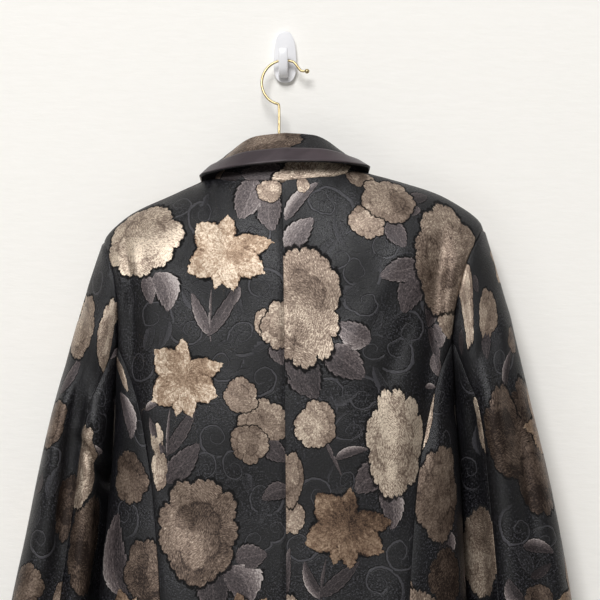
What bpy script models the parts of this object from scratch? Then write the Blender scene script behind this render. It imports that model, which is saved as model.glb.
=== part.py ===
"""Floral tuxedo jacket, hung by its back on a wire hook hanger from a wall hook.

The tables are in millimetres from the middle of the wall hook's back face: X to the
right of the view, Y into the wall, Z up. Left and right are the wearer's own sides.
Every cloth piece is a thin wall round one shared body, sleeve or collar surface, so
neighbours meet along the same seam line with the same small gap.
"""

import math
from collections import namedtuple

import bmesh
import bpy
from mathutils import Vector

MM = 0.001
LEFT, RIGHT = -1, 1
BACK, FRONT = -1, 1
SIDE_NAMES = {LEFT: "left", RIGHT: "right"}

# Cloth
CLOTH = 1.6
SATIN = 1.0
SEAM_GAP = 0.4
LIE_GAP = 0.4
LAPEL_GAP = 1.3

# Body of the jacket: its outline at each height, and how far it stands from the wall
BodyRow = namedtuple("BodyRow", "z left right side_y back_y front_y")
BODY = [
    BodyRow(-120, 216, 234, -46, -96, -22),
    BodyRow(-200, 211, 226, -52, -108, -19),
    BodyRow(-260, 199, 203, -57, -115, -17),
    BodyRow(-311, 187, 187, -60, -120, -16),
    BodyRow(-345, 182, 182, -61, -122, -16),
    BodyRow(-372, 179.4, 179.4, -62, -123, -16),
    BodyRow(-409, 181, 183, -63, -124, -15),
    BodyRow(-479, 187, 187, -65, -123, -13),
    BodyRow(-579, 197, 192, -67, -127, -12),
    BodyRow(-690, 204, 199.5, -69, -133, -11),
    BodyRow(-795, 211, 207, -71, -138, -11),
]
HEM_Z = -795
ROUND_BACK = 2.6
ROUND_FRONT = 3.5

# Neck seam and shoulder line
LineRow = namedtuple("LineRow", "x z")
TOP_LINE = {
    LEFT: [LineRow(0, -135), LineRow(40, -134.5), LineRow(78, -132.5), LineRow(92, -138),
           LineRow(119, -150), LineRow(161, -169), LineRow(183, -186), LineRow(192.5, -197)],
    RIGHT: [LineRow(0, -135), LineRow(40, -131), LineRow(78, -124.5), LineRow(98, -129),
            LineRow(127, -137), LineRow(162, -148.5), LineRow(190, -164), LineRow(205, -175.5),
            LineRow(211, -183.5)],
}
NECK_HALF = 78
RIDGE_Y = -42
NECK_DEPTH = 40
SHOULDER_TURN = 85
NECK_TURN = 115

# Armhole, down to the underarm
EdgeRow = namedtuple("EdgeRow", "z x")
ARMHOLE = {
    LEFT: [EdgeRow(-197, 192.5), EdgeRow(-220, 185.5), EdgeRow(-234, 181.5), EdgeRow(-257, 178.5),
           EdgeRow(-287, 177), EdgeRow(-311, 177), EdgeRow(-345, 178.6), EdgeRow(-360, 179),
           EdgeRow(-372, 179.4)],
    RIGHT: [EdgeRow(-183.5, 211), EdgeRow(-200, 202), EdgeRow(-217, 194), EdgeRow(-240, 187.5),
            EdgeRow(-262, 182.5), EdgeRow(-287, 178.5), EdgeRow(-311, 177), EdgeRow(-345, 178.6),
            EdgeRow(-360, 179), EdgeRow(-372, 179.4)],
}
UNDERARM_Z = -372
ARMHOLE_TURNS = 20
SEAM_TURN = 6
SEAM_ROWS = 18

# Seams below the armhole, drawn in from the body's outline on the way to the hem
SeamRow = namedtuple("SeamRow", "share back front")
SEAMS = [
    SeamRow(0.00, 0.0, 0.0),
    SeamRow(0.07, 14.0, 10.0),
    SeamRow(0.19, 28.0, 20.0),
    SeamRow(0.33, 38.0, 27.0),
    SeamRow(0.56, 45.5, 33.0),
    SeamRow(1.00, 53.0, 38.0),
]

# Centre back seam
CENTRE_BACK = [EdgeRow(-120, -4.0), EdgeRow(-290, -1.0), EdgeRow(-580, 1.6), EdgeRow(-795, 2.0)]

# Front edge: roll line from the neck to the button, then the overlap
FRONT_EDGE = [
    EdgeRow(-122, 78), EdgeRow(-200, 56), EdgeRow(-300, 22), EdgeRow(-380, -8), EdgeRow(-430, -20),
    EdgeRow(-480, -22), EdgeRow(-795, -22),
]
OVERLAP_LIFT = 2.6
LAPEL_LIFT = 2.8

# Largest folds of the back: a line from top to bottom, its width and its depth, out is positive
FoldRow = namedtuple("FoldRow", "top_x top_z low_x low_z width depth")
BACK_FOLDS = [
    FoldRow(166, -188, 145, -440, 10, -9.0),
    FoldRow(182, -215, 171, -290, 9, 4.0),
    FoldRow(-161, -240, -160, -400, 9, -8.0),
    FoldRow(-145, -235, -143, -400, 13, 3.5),
    FoldRow(60, -300, 75, -560, 42, 3.0),
    FoldRow(-70, -330, -92, -640, 40, 3.0),
    FoldRow(118, -520, 124, -795, 26, 4.0),
    FoldRow(-112, -520, -118, -795, 26, 4.0),
    FoldRow(0, -560, 0, -795, 30, -3.5),
]

# Sleeves: outer and inner outline at each height, and their depth
SleeveRow = namedtuple("SleeveRow", "z out_left in_left out_right in_right mid_y depth")
SLEEVE = [
    SleeveRow(-390, 248, 183.4, 263, 183.8, -58, 46),
    SleeveRow(-450, 261, 184.4, 278, 184.8, -58, 46),
    SleeveRow(-520, 275, 190.4, 292, 188.6, -58, 45),
    SleeveRow(-590, 290, 197.2, 304, 192.4, -58, 43),
    SleeveRow(-680, 306, 203.0, 314, 198.6, -58, 41),
    SleeveRow(-768, 316, 211.0, 322, 206.0, -58, 39),
]
SLEEVE_ROUND = 2.2
SLEEVE_SLANT = 0.22
SLEEVE_TUCK = 30
SLEEVE_TWIST = {LEFT: 16, RIGHT: 0}
CAP_ROWS = 7
SLEEVE_ROWS = 16
HIND_SEAM = 6
FORE_SEAM = 14
ARM_CLEAR = 1.9
CAP_SWELL = 7

# Largest folds of the sleeves: their turn round the arm in degrees from the outer side
ArmFold = namedtuple("ArmFold", "top_turn top_z low_turn low_z width depth")
SLEEVE_FOLDS = {
    LEFT: [ArmFold(80, -330, 76, -640, 22, -10.0), ArmFold(120, -330, 114, -640, 19, 6.0),
           ArmFold(40, -300, 48, -480, 24, 3.0)],
    RIGHT: [ArmFold(88, -240, 100, -650, 14, 8.0), ArmFold(54, -250, 64, -620, 18, -6.0),
            ArmFold(124, -360, 128, -620, 14, -5.0)],
}

# Collar: neck seam, fold line and outer edge, by the angle round the neck from the back
CollarRow = namedtuple("CollarRow", "angle neck_x neck_y fold_x fold_y fold_z edge_x edge_y edge_z")
COLLAR = [
    CollarRow(0, 0, -82, 0, -68, -84, 0, -95, -115),
    CollarRow(30, 39, -76.6, 31, -65, -87, 42, -90, -117),
    CollarRow(60, 67.5, -62, 54, -54, -100, 74, -71, -121),
    CollarRow(90, 74.5, -42, 66, -37, -112, 90, -42, -125.5),
    CollarRow(115, 55, -31, 63, -20, -130, 86, -14, -142),
]
COLLAR_END = 112
COLLAR_STEPS = 22
COLLAR_RISE = 2.2
COLLAR_ROLL = 2.2
FOLD_TILT = 0.02
EDGE_TILT = 0.05
STAND_LINES = [0.0, 0.45, 0.8, 0.93]
FALL_LINES = [0.94, 1.0, 1.1, 1.3, 1.55, 1.78, 2.0]
BAND_LINES = [1.55, 1.78, 2.0]

# Lapels: width at the height where each line leaves the roll line
LapelRow = namedtuple("LapelRow", "z width")
LAPEL = [
    LapelRow(-424, 5), LapelRow(-390, 22), LapelRow(-340, 42), LapelRow(-285, 60),
    LapelRow(-230, 75), LapelRow(-182, 80),
]
LAPEL_STEPS = 12
LAPEL_DROP = 0.2
LAPEL_BAND = 13
LAPEL_BAND_FROM = {LEFT: -350, RIGHT: -390}

# Front button
BUTTON_Z = -452
BUTTON_HALF = 10
BUTTON_THICK = 4.4

# Hanger
BAR_HALF = 5.0
BAR_REST = 2.2
BAR_MIDDLE_Z = -131
BAR_END = {LEFT: 166, RIGHT: 180}
WIRE_HALF = 1.4
WIRE_TOP_Y = -13
WIRE_LEAN = 0.262
LOOP_X, LOOP_Z, LOOP_HALF = -0.5, -28.5, 24.5
LOOP_FROM, LOOP_TO = 232, 66
STEM_X = -6.4
STEM_TOP_Z = -56
TAIL = [(17.0, -15.2), (20.5, -15.8)]
BALL_HALF = 2.6

# Wall hook
PLATE_WIDE, PLATE_TALL, PLATE_THICK = 24, 55, 3.0
PRONG_X, PRONG_WIDE = -2, 10
PRONG = [
    (-3.3, -23), (-11, -22.5), (-17, -18.5), (-20, -12), (-21.5, -2), (-22, 8), (-20.8, 9.5),
    (-19, 8.5), (-18, 0), (-16.2, -6), (-12.8, -7), (-9, -6.2), (-3.3, -5),
]


def clear_scene():
    for item in list(bpy.data.objects):
        bpy.data.objects.remove(item, do_unlink=True)


def smooth_column(rows, at, value):
    """A smooth line through one column of a table, read against another column."""
    ordered = sorted(rows, key=lambda row: getattr(row, at))
    xs = [getattr(row, at) for row in ordered]
    ys = [getattr(row, value) for row in ordered]
    rises = [(ys[i + 1] - ys[i]) / (xs[i + 1] - xs[i]) for i in range(len(xs) - 1)]
    slopes = [rises[0]]
    for before, after in zip(rises, rises[1:]):
        same_way = before * after > 0
        slopes.append(2 * before * after / (before + after) if same_way else 0.0)
    slopes.append(rises[-1])

    def value_at(x):
        if x <= xs[0]:
            return ys[0]
        if x >= xs[-1]:
            return ys[-1]
        i = max(k for k in range(len(xs) - 1) if xs[k] <= x)
        step = xs[i + 1] - xs[i]
        t = (x - xs[i]) / step
        keep = (1 + 2 * t) * (1 - t) ** 2
        return (keep * ys[i] + (1 - keep) * ys[i + 1]
                + step * t * (1 - t) * ((1 - t) * slopes[i] - t * slopes[i + 1]))

    return value_at


def mix(a, b, t):
    return a + (b - a) * t


def ease(t):
    t = min(max(t, 0.0), 1.0)
    return t * t * (3 - 2 * t)


half_width = {LEFT: smooth_column(BODY, "z", "left"), RIGHT: smooth_column(BODY, "z", "right")}
side_depth = smooth_column(BODY, "z", "side_y")
face_depth = {BACK: smooth_column(BODY, "z", "back_y"), FRONT: smooth_column(BODY, "z", "front_y")}
top_height = {side: smooth_column(TOP_LINE[side], "x", "z") for side in (LEFT, RIGHT)}
armhole_x = {side: smooth_column(ARMHOLE[side], "z", "x") for side in (LEFT, RIGHT)}
seam_pull = {BACK: smooth_column(SEAMS, "share", "back"), FRONT: smooth_column(SEAMS, "share", "front")}
centre_back_x = smooth_column(CENTRE_BACK, "z", "x")
front_edge_x = smooth_column(FRONT_EDGE, "z", "x")
lapel_width = smooth_column(LAPEL, "z", "width")
face_round = {BACK: ROUND_BACK, FRONT: ROUND_FRONT}


def fold_shift(x, z):
    """How far the folds move the back outward at one place."""
    shift = 0.0
    for row in BACK_FOLDS:
        t = (z - row.top_z) / (row.low_z - row.top_z)
        fades = ease((t + 0.12) / 0.3)
        if row.low_z > HEM_Z:
            fades *= ease((1.12 - t) / 0.3)
        off = (x - mix(row.top_x, row.low_x, t)) / row.width
        shift += row.depth * fades * math.exp(-off * off)
    return shift


def front_lift(x, z):
    """How far the overlapping right front is raised over the left one."""
    lapel = ease((z + 470) / 45) * ease((-330 - z) / 30)
    return ease((72 - x) / 42) * ease((-250 - z) / 60) * (OVERLAP_LIFT + LAPEL_LIFT * lapel)


def body_y(side, face, x, z):
    """Depth of the body's cloth at one place of its back or front, x from the middle."""
    share = min(abs(x) / half_width[side](z), 1.0)
    reach = (1 - share ** face_round[face]) ** (1 / face_round[face])
    ring = mix(side_depth(z), face_depth[face](z), reach)
    drop = max(top_height[side](abs(x)) - z, 0.0)
    neck = ease((NECK_HALF + 14 - abs(x)) / 34) if face == BACK else 0.0
    t = min(drop / mix(SHOULDER_TURN, NECK_TURN, neck), 1.0)
    grown = (1 - (1 - t) ** 2) ** (1 / mix(2.0, 1.1, neck))
    top = RIDGE_Y + face * SEAM_GAP / 2
    if face == BACK and abs(x) < NECK_HALF:
        top -= NECK_DEPTH * math.sqrt(1 - (x / NECK_HALF) ** 2)
    y = mix(top, ring, grown)
    if face == BACK:
        return y - fold_shift(side * x, z) * grown * (1 - share ** 10)
    if side == RIGHT:
        y += front_lift(x, z)
    return y


def body_point(side, face, x, z):
    return Vector((side * x, body_y(side, face, x, z), z))


def body_normal(side, face, x, z):
    """Outward direction of the body's cloth on its back or front."""
    z = min(z, top_height[side](abs(x)) - 0.06)
    step = 0.05
    along = body_point(side, face, x + step, z) - body_point(side, face, x - step, z)
    down = body_point(side, face, x, z - step) - body_point(side, face, x, z + step)
    normal = along.cross(down).normalized()
    return normal if normal.y * face > 0 or normal.z > 0.5 else -normal


def armhole_z(side, turn):
    top = TOP_LINE[side][-1].z
    return mix(top, UNDERARM_Z, (1 - math.cos(math.radians(turn))) / 2)


def edge_levels(side):
    """Heights of a panel's side edge: round the armhole, then down the seam."""
    step = 360 / ARMHOLE_TURNS
    levels = [armhole_z(side, step * i) for i in range(SEAM_TURN + 1)]
    start = levels[-1]
    return levels + [mix(start, HEM_Z, i / SEAM_ROWS) for i in range(1, SEAM_ROWS + 1)]


def edge_x(side, face, z):
    start = edge_levels(side)[SEAM_TURN]
    if z >= start - 1e-6:
        return armhole_x[side](z)
    share = (start - z) / (start - HEM_Z)
    return armhole_x[side](start) - seam_pull[face](share)


def material(name, colour, metallic, roughness):
    made = bpy.data.materials.new(name)
    made.use_nodes = True
    shader = made.node_tree.nodes["Principled BSDF"]
    shader.inputs["Base Color"].default_value = (*colour, 1.0)
    shader.inputs["Metallic"].default_value = metallic
    shader.inputs["Roughness"].default_value = roughness
    return made


def keep(name, data, finish):
    """Puts one finished mesh or curve in the jacket's collection."""
    item = bpy.data.objects.new(name, data)
    data.materials.append(finish)
    jacket_collection.objects.link(item)
    return item


def cloth_wall(name, columns, rows, place, finish, thickness=CLOTH):
    """A cloth piece: a grid raised to a closed wall, each corner set by place(column, row)."""
    piece = bmesh.new()
    bmesh.ops.create_grid(piece, x_segments=columns, y_segments=rows, size=0.5)
    inner = list(piece.verts)
    bmesh.ops.extrude_face_region(piece, geom=piece.verts[:] + piece.edges[:] + piece.faces[:],
                                  use_keep_orig=True)
    known = set(inner)
    places = {}
    for vert in piece.verts:
        spot = (round((vert.co.x + 0.5) * columns), round((0.5 - vert.co.y) * rows))
        if spot not in places:
            places[spot] = place(*spot)
        point, normal = places[spot]
        offset = -thickness / 2 if vert in known else thickness / 2
        vert.co = (point + normal * offset) * MM
    bmesh.ops.recalc_face_normals(piece, faces=piece.faces[:])
    data = bpy.data.meshes.new(name)
    piece.to_mesh(data)
    piece.free()
    return keep(name, data, finish)


def column_stations(side):
    """Where the lines of a panel meet the neck and the shoulder line."""
    tip = TOP_LINE[side][-1].x
    neck = [NECK_HALF * i / 4 for i in range(4)]
    shoulder = [mix(NECK_HALF, tip, 1 - (1 - i / 8) ** 1.25) for i in range(9)]
    return neck + shoulder


def back_panel(side, finish):
    stations = column_stations(side)
    levels = edge_levels(side)
    tip = TOP_LINE[side][-1]

    def place(column, row):
        share = stations[column] / tip.x
        run = (levels[row] - tip.z) / (HEM_Z - tip.z)
        z = mix(top_height[side](stations[column]), HEM_Z, run)
        middle_z = mix(top_height[side](0), HEM_Z, run)
        inner_x = side * centre_back_x(middle_z) + SEAM_GAP / 2
        x = mix(inner_x, edge_x(side, BACK, levels[row]) - SEAM_GAP / 2, share)
        return body_point(side, BACK, x, z), body_normal(side, BACK, x, z)

    cloth_wall("back_" + SIDE_NAMES[side], len(stations) - 1, len(levels) - 1, place, finish)


def front_panel(side, finish):
    stations = [x for x in column_stations(side) if x >= NECK_HALF - 0.01]
    levels = edge_levels(side)
    tip = TOP_LINE[side][-1]

    def place(column, row):
        run = (levels[row] - tip.z) / (HEM_Z - tip.z)
        share = (stations[column] - NECK_HALF) / (tip.x - NECK_HALF)
        inner_z = mix(top_height[side](NECK_HALF), HEM_Z, run)
        outer_x = edge_x(side, FRONT, levels[row]) - SEAM_GAP / 2
        x = mix(front_edge_x(inner_z), outer_x, share)
        z = mix(top_height[side](stations[column]), HEM_Z, run)
        return body_point(side, FRONT, x, z), body_normal(side, FRONT, x, z)

    cloth_wall("front_" + SIDE_NAMES[side], len(stations) - 1, len(levels) - 1, place, finish)


def ring_angle(side, face, x, z):
    """Angle round the body, 0 at the middle of the back and 180 at the middle of the front."""
    share = min(x / half_width[side](z), 1.0)
    angle = math.degrees(math.asin(share ** (face_round[face] / 2)))
    return angle if face == BACK else 180 - angle


def ring_point(side, angle, z):
    face = BACK if angle <= 90 else FRONT
    share = abs(math.sin(math.radians(angle))) ** (2 / face_round[face])
    return body_point(side, face, share * half_width[side](z), z)


def ring_normal(side, angle, z):
    around = ring_point(side, angle + 0.4, z) - ring_point(side, angle - 0.4, z)
    down = ring_point(side, angle, z - 0.3) - ring_point(side, angle, z + 0.3)
    normal = around.cross(down).normalized()
    return normal if normal.x * side > 0 or abs(normal.x) < 0.2 else -normal


def side_panel(side, finish):
    levels = edge_levels(side)[SEAM_TURN:]
    step = 360 / ARMHOLE_TURNS
    columns = ARMHOLE_TURNS - 2 * SEAM_TURN
    tops = [armhole_z(side, step * (SEAM_TURN + i)) for i in range(columns + 1)]
    faces = [BACK if i <= columns / 2 else FRONT for i in range(columns + 1)]
    angles = [ring_angle(side, face, armhole_x[side](z), z) for face, z in zip(faces, tops)]
    shares = [(angle - angles[0]) / (angles[-1] - angles[0]) for angle in angles]

    def place(column, row):
        back_z = levels[row]
        first = ring_angle(side, BACK, edge_x(side, BACK, back_z) + SEAM_GAP / 2, back_z)
        last = ring_angle(side, FRONT, edge_x(side, FRONT, back_z) + SEAM_GAP / 2, back_z)
        angle = mix(first, last, shares[column])
        z = mix(tops[column], HEM_Z, row / SEAM_ROWS)
        if column == 0:
            x = edge_x(side, BACK, back_z) + SEAM_GAP / 2
            return body_point(side, BACK, x, z), body_normal(side, BACK, x, z)
        if column == columns:
            x = edge_x(side, FRONT, back_z) + SEAM_GAP / 2
            return body_point(side, FRONT, x, z), body_normal(side, FRONT, x, z)
        return ring_point(side, angle, z), ring_normal(side, angle, z)

    cloth_wall("side_panel_" + SIDE_NAMES[side], columns, SEAM_ROWS, place, finish)


def sleeve_columns(side):
    names = ("out_left", "in_left") if side == LEFT else ("out_right", "in_right")
    return [smooth_column(SLEEVE, "z", name) for name in (*names, "mid_y", "depth")]


sleeve_lines = {side: sleeve_columns(side) for side in (LEFT, RIGHT)}


def armhole_point(side, turn):
    z = armhole_z(side, turn)
    face = BACK if turn % 360 <= 180 else FRONT
    x = armhole_x[side](z)
    low = ease((abs((turn % 360) - 180) - 107) / -17)
    x += mix(SEAM_GAP / 2, ARM_CLEAR, low)
    return Vector((side * x, body_y(side, face, min(x, half_width[side](z)), z), z + 0.4 * low))


def sleeve_ring(side, turn, z):
    """A place on the sleeve below the armhole, turn counted from its outer side over the back."""
    outer, inner, mid_y, depth = sleeve_lines[side]
    angle = math.radians(turn - SLEEVE_TWIST[side])
    power = 2 / SLEEVE_ROUND
    across = math.copysign(abs(math.cos(angle)) ** power, math.cos(angle))
    behind = math.copysign(abs(math.sin(angle)) ** power, math.sin(angle))
    half = (outer(z) - inner(z)) / 2
    tuck = SLEEVE_TUCK * ease((UNDERARM_Z - z) / 70) * ((1 - across) / 2) ** 2 * ease(1 + behind)
    return Vector((side * (inner(z) + half + half * across), mid_y(z) - depth(z) * behind + tuck,
                   z + SLEEVE_SLANT * half * across))


def arm_fold_shift(side, turn, z):
    shift = 0.0
    local = (turn - SLEEVE_TWIST[side]) % 360
    for row in SLEEVE_FOLDS[side]:
        t = (z - row.top_z) / (row.low_z - row.top_z)
        fades = ease((t + 0.05) / 0.25) * ease((1.05 - t) / 0.25)
        off = (local - mix(row.top_turn, row.low_turn, t)) / row.width
        shift += row.depth * fades * math.exp(-off * off)
    return shift


def sleeve_point(side, turn, down):
    """A place on the sleeve; down runs 0 to 1 over the cap and 1 to 2 on to the cuff."""
    top_z, cuff_z = SLEEVE[0].z, SLEEVE[-1].z
    if down <= 1:
        start = armhole_point(side, turn)
        point = start.lerp(sleeve_ring(side, turn, top_z), down)
        point.x += side * CAP_SWELL * math.sin(math.pi * down) * (1 + math.cos(math.radians(turn))) / 5
    else:
        point = sleeve_ring(side, turn, mix(top_z, cuff_z, down - 1))
    angle = math.radians(turn - SLEEVE_TWIST[side])
    outward = Vector((side * math.cos(angle), -math.sin(angle), 0))
    return point + outward * arm_fold_shift(side, turn, point.z) * min(1.0, 2.5 * down)


def sleeve_normal(side, turn, down):
    at = max(down, 0.004)
    around = sleeve_point(side, turn + 0.4, at) - sleeve_point(side, turn - 0.4, at)
    along = sleeve_point(side, turn, at + 0.004) - sleeve_point(side, turn, at - 0.004)
    return (around.cross(along) * side).normalized()


def sleeve_piece(name, side, first, last, finish):
    """One of the two sleeve pieces, between the seams at two turns of the armhole."""
    step = 360 / ARMHOLE_TURNS
    columns = last - first
    seam_turn = math.degrees(SEAM_GAP / 2 / 42)

    def place(column, row):
        turn = step * (first + column)
        turn += seam_turn if column == 0 else -seam_turn if column == columns else 0
        down = row / CAP_ROWS if row <= CAP_ROWS else 1 + (row - CAP_ROWS) / SLEEVE_ROWS
        normal = sleeve_normal(side, turn, down)
        from_top = abs((turn + 180) % 360 - 180)
        if row == 0 and from_top < 100:
            face = BACK if turn % 360 <= 180 else FRONT
            z = armhole_z(side, turn)
            normal = body_normal(side, face, armhole_x[side](z), z)
        return sleeve_point(side, turn, down), normal

    cloth_wall(name + SIDE_NAMES[side], columns, CAP_ROWS + SLEEVE_ROWS, place, finish)


collar_lines = {
    name: smooth_column(COLLAR, "angle", name) for name in CollarRow._fields if name != "angle"
}


def spline(points, knots, at):
    """A place on a smooth line through points at set knots."""
    i = max(k for k in range(len(knots) - 1) if knots[k] <= max(at, knots[0]))
    step = knots[i + 1] - knots[i]
    t = (at - knots[i]) / step

    def slope(k):
        before, after = max(k - 1, 0), min(k + 1, len(knots) - 1)
        return (points[after] - points[before]) / (knots[after] - knots[before])

    keep_share = (1 + 2 * t) * (1 - t) ** 2
    return (points[i] * keep_share + points[i + 1] * (1 - keep_share)
            + (slope(i) * (1 - t) - slope(i + 1) * t) * (step * t * (1 - t)))


def collar_point(angle, line):
    """A place on the collar: line 0 at the neck seam, 1 on the fold, 2 at the outer edge."""
    side = RIGHT if angle >= 0 else LEFT
    value = {name: read(abs(angle)) for name, read in collar_lines.items()}
    neck_z = top_height[side](value["neck_x"]) + COLLAR_RISE
    if abs(angle) > 90:
        neck_z -= (abs(angle) - 90) * 0.5
    neck = Vector((side * value["neck_x"], value["neck_y"], neck_z))
    fold = Vector((side * value["fold_x"], value["fold_y"], value["fold_z"]))
    fold.z += FOLD_TILT * fold.x
    edge = Vector((side * value["edge_x"], value["edge_y"], value["edge_z"]))
    edge.z += EDGE_TILT * edge.x
    outward = Vector((math.sin(math.radians(angle)), -math.cos(math.radians(angle)), 0))
    inside = fold - outward * COLLAR_ROLL - Vector((0, 0, COLLAR_ROLL))
    outside = fold + outward * COLLAR_ROLL - Vector((0, 0, COLLAR_ROLL * 0.9))
    middle = neck.lerp(inside, 0.5) - outward * 1.5
    belly = outside.lerp(edge, 0.45) + outward * 2.0
    return spline([neck, middle, inside, fold, outside, belly, edge],
                  [0.0, 0.45, 0.9, 1.0, 1.1, 1.5, 2.0], line)


def collar_normal(angle, line):
    around = collar_point(angle + 0.3, line) - collar_point(angle - 0.3, line)
    up = collar_point(angle, min(line + 0.01, 2.0)) - collar_point(angle, max(line - 0.01, 0.0))
    return around.cross(up).normalized()


def collar_piece(name, lines, finish, lift=0.0, thickness=CLOTH):
    def place(column, row):
        angle = mix(-COLLAR_END, COLLAR_END, column / COLLAR_STEPS)
        normal = collar_normal(angle, lines[row])
        return collar_point(angle, lines[row]) + normal * lift, normal

    cloth_wall(name, COLLAR_STEPS, len(lines) - 1, place, finish, thickness)


def lapel_piece(name, side, from_z, to_z, inner_width, finish, lift, thickness):
    """A piece lying on the front beside the roll line; inner_width 0 starts at the line."""
    columns = 5 if inner_width == 0 else 2

    def place(column, row):
        z = mix(from_z, to_z, row / LAPEL_STEPS)
        width = lapel_width(z)
        start = max(width - inner_width, 0) if inner_width else 0.6
        out = mix(start, width, column / columns)
        x = front_edge_x(z) + out
        low = z - LAPEL_DROP * out
        normal = body_normal(side, FRONT, x, low)
        return body_point(side, FRONT, x, low) + normal * lift, normal

    cloth_wall(name + SIDE_NAMES[side], columns, LAPEL_STEPS, place, finish, thickness)


def front_button(finish):
    middle = body_point(RIGHT, FRONT, 0, BUTTON_Z)
    middle.y += CLOTH / 2 + LIE_GAP + BUTTON_THICK / 2
    disc = bmesh.new()
    bmesh.ops.create_uvsphere(disc, u_segments=20, v_segments=8, radius=1)
    for vert in disc.verts:
        domed = Vector((vert.co.x * BUTTON_HALF, -vert.co.z * BUTTON_THICK / 2, vert.co.y * BUTTON_HALF))
        vert.co = (middle + domed) * MM
    data = bpy.data.meshes.new("front_button")
    disc.to_mesh(data)
    disc.free()
    keep("front_button", data, finish)


def tube(name, points, half, finish, resolution=3):
    path = bpy.data.curves.new(name, "CURVE")
    path.dimensions = "3D"
    path.bevel_depth = half * MM
    path.bevel_resolution = resolution
    path.use_fill_caps = True
    line = path.splines.new("POLY")
    line.points.add(len(points) - 1)
    for spot, point in zip(line.points, points):
        spot.co = (*(Vector(point) * MM), 1.0)
    return keep(name, path, finish)


def hanger_bar(finish):
    def arm(side):
        drop = CLOTH / 2 + BAR_REST + BAR_HALF
        xs = [mix(NECK_HALF, BAR_END[side], i / 6) for i in range(7)]
        shoulder = [(side * x, RIDGE_Y, top_height[side](x) - drop * 1.16) for x in xs]
        start_z = shoulder[0][2]
        return [(side * 26, RIDGE_Y, mix(BAR_MIDDLE_Z, start_z, 0.12)),
                (side * 52, RIDGE_Y, mix(BAR_MIDDLE_Z, start_z, 0.75))] + shoulder

    points = list(reversed(arm(LEFT))) + [(0, RIDGE_Y, BAR_MIDDLE_Z)] + arm(RIGHT)
    tube("hanger_bar", points, BAR_HALF, finish)


def wire_place(x, z):
    """A place of the hook wire, which leans out from the wall on its way down."""
    return (x, WIRE_TOP_Y + WIRE_LEAN * (z + 4), z)


def hanger_hook(finish):
    loop = []
    for i in range(19):
        angle = math.radians(mix(LOOP_FROM, LOOP_TO, i / 18))
        loop.append((LOOP_X + LOOP_HALF * math.cos(angle), LOOP_Z + LOOP_HALF * math.sin(angle)))
    start_x, start_z = loop[0]
    bend = [(STEM_X, STEM_TOP_Z), (STEM_X - 0.8, STEM_TOP_Z + 4.5),
            (mix(STEM_X, start_x, 0.45), start_z - 2.6)]
    bar_top = BAR_MIDDLE_Z + BAR_HALF + SEAM_GAP + 0.8
    stem = [(STEM_X, bar_top), (STEM_X, mix(bar_top, STEM_TOP_Z, 0.5))]
    route = stem + bend + loop + TAIL
    tube("hanger_hook", [wire_place(x, z) for x, z in route], WIRE_HALF, finish)
    ball = bmesh.new()
    bmesh.ops.create_uvsphere(ball, u_segments=14, v_segments=8, radius=BALL_HALF * MM)
    end = Vector(wire_place(*TAIL[-1])) + Vector((BALL_HALF + SEAM_GAP, 0, 0))
    bmesh.ops.translate(ball, verts=ball.verts[:], vec=end * MM)
    data = bpy.data.meshes.new("hook_ball")
    ball.to_mesh(data)
    ball.free()
    keep("hook_ball", data, finish)


def flat_outline(name, points, half_thick, edge, finish):
    """A flat piece with rounded edges from an outline drawn in its own plane."""
    shape = bpy.data.curves.new(name, "CURVE")
    shape.dimensions = "2D"
    shape.fill_mode = "BOTH"
    shape.extrude = (half_thick - edge) * MM
    shape.bevel_depth = edge * MM
    shape.bevel_resolution = 1
    shape.offset = -edge * MM
    line = shape.splines.new("POLY")
    line.points.add(len(points) - 1)
    line.use_cyclic_u = True
    for spot, (across, up) in zip(line.points, points):
        spot.co = (across * MM, up * MM, 0, 1)
    return keep(name, shape, finish)


def wall_hook(finish):
    half_wide, half_tall = PLATE_WIDE / 2, PLATE_TALL / 2
    outline = []
    for i in range(36):
        angle = math.radians(10 * i)
        across = math.copysign(abs(math.cos(angle)) ** 0.72, math.cos(angle))
        up = math.copysign(abs(math.sin(angle)) ** 0.72, math.sin(angle))
        outline.append((half_wide * across * (1 - 0.12 * up), half_tall * up))
    plate = flat_outline("wall_plate", outline, PLATE_THICK / 2, 0.8, finish)
    plate.rotation_euler = (math.radians(90), 0, 0)
    plate.location = (0, -PLATE_THICK / 2 * MM, 0)
    side_view = [(-y, z) for y, z in PRONG]
    prong = flat_outline("wall_prong", side_view, PRONG_WIDE / 2, 1.0, finish)
    prong.rotation_euler = (math.radians(90), 0, math.radians(-90))
    prong.location = (PRONG_X * MM, 0, 0)


clear_scene()
jacket_collection = bpy.data.collections.new("tuxedo_jacket")
bpy.context.scene.collection.children.link(jacket_collection)

brocade = material("brocade", (0.035, 0.033, 0.037), 0.0, 0.6)
satin = material("satin", (0.075, 0.058, 0.064), 0.0, 0.35)
gold_wire = material("gold_wire", (0.75, 0.58, 0.30), 1.0, 0.25)
bar_plastic = material("bar_plastic", (0.03, 0.03, 0.03), 0.0, 0.7)
hook_plastic = material("hook_plastic", (0.86, 0.86, 0.88), 0.0, 0.3)

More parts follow.
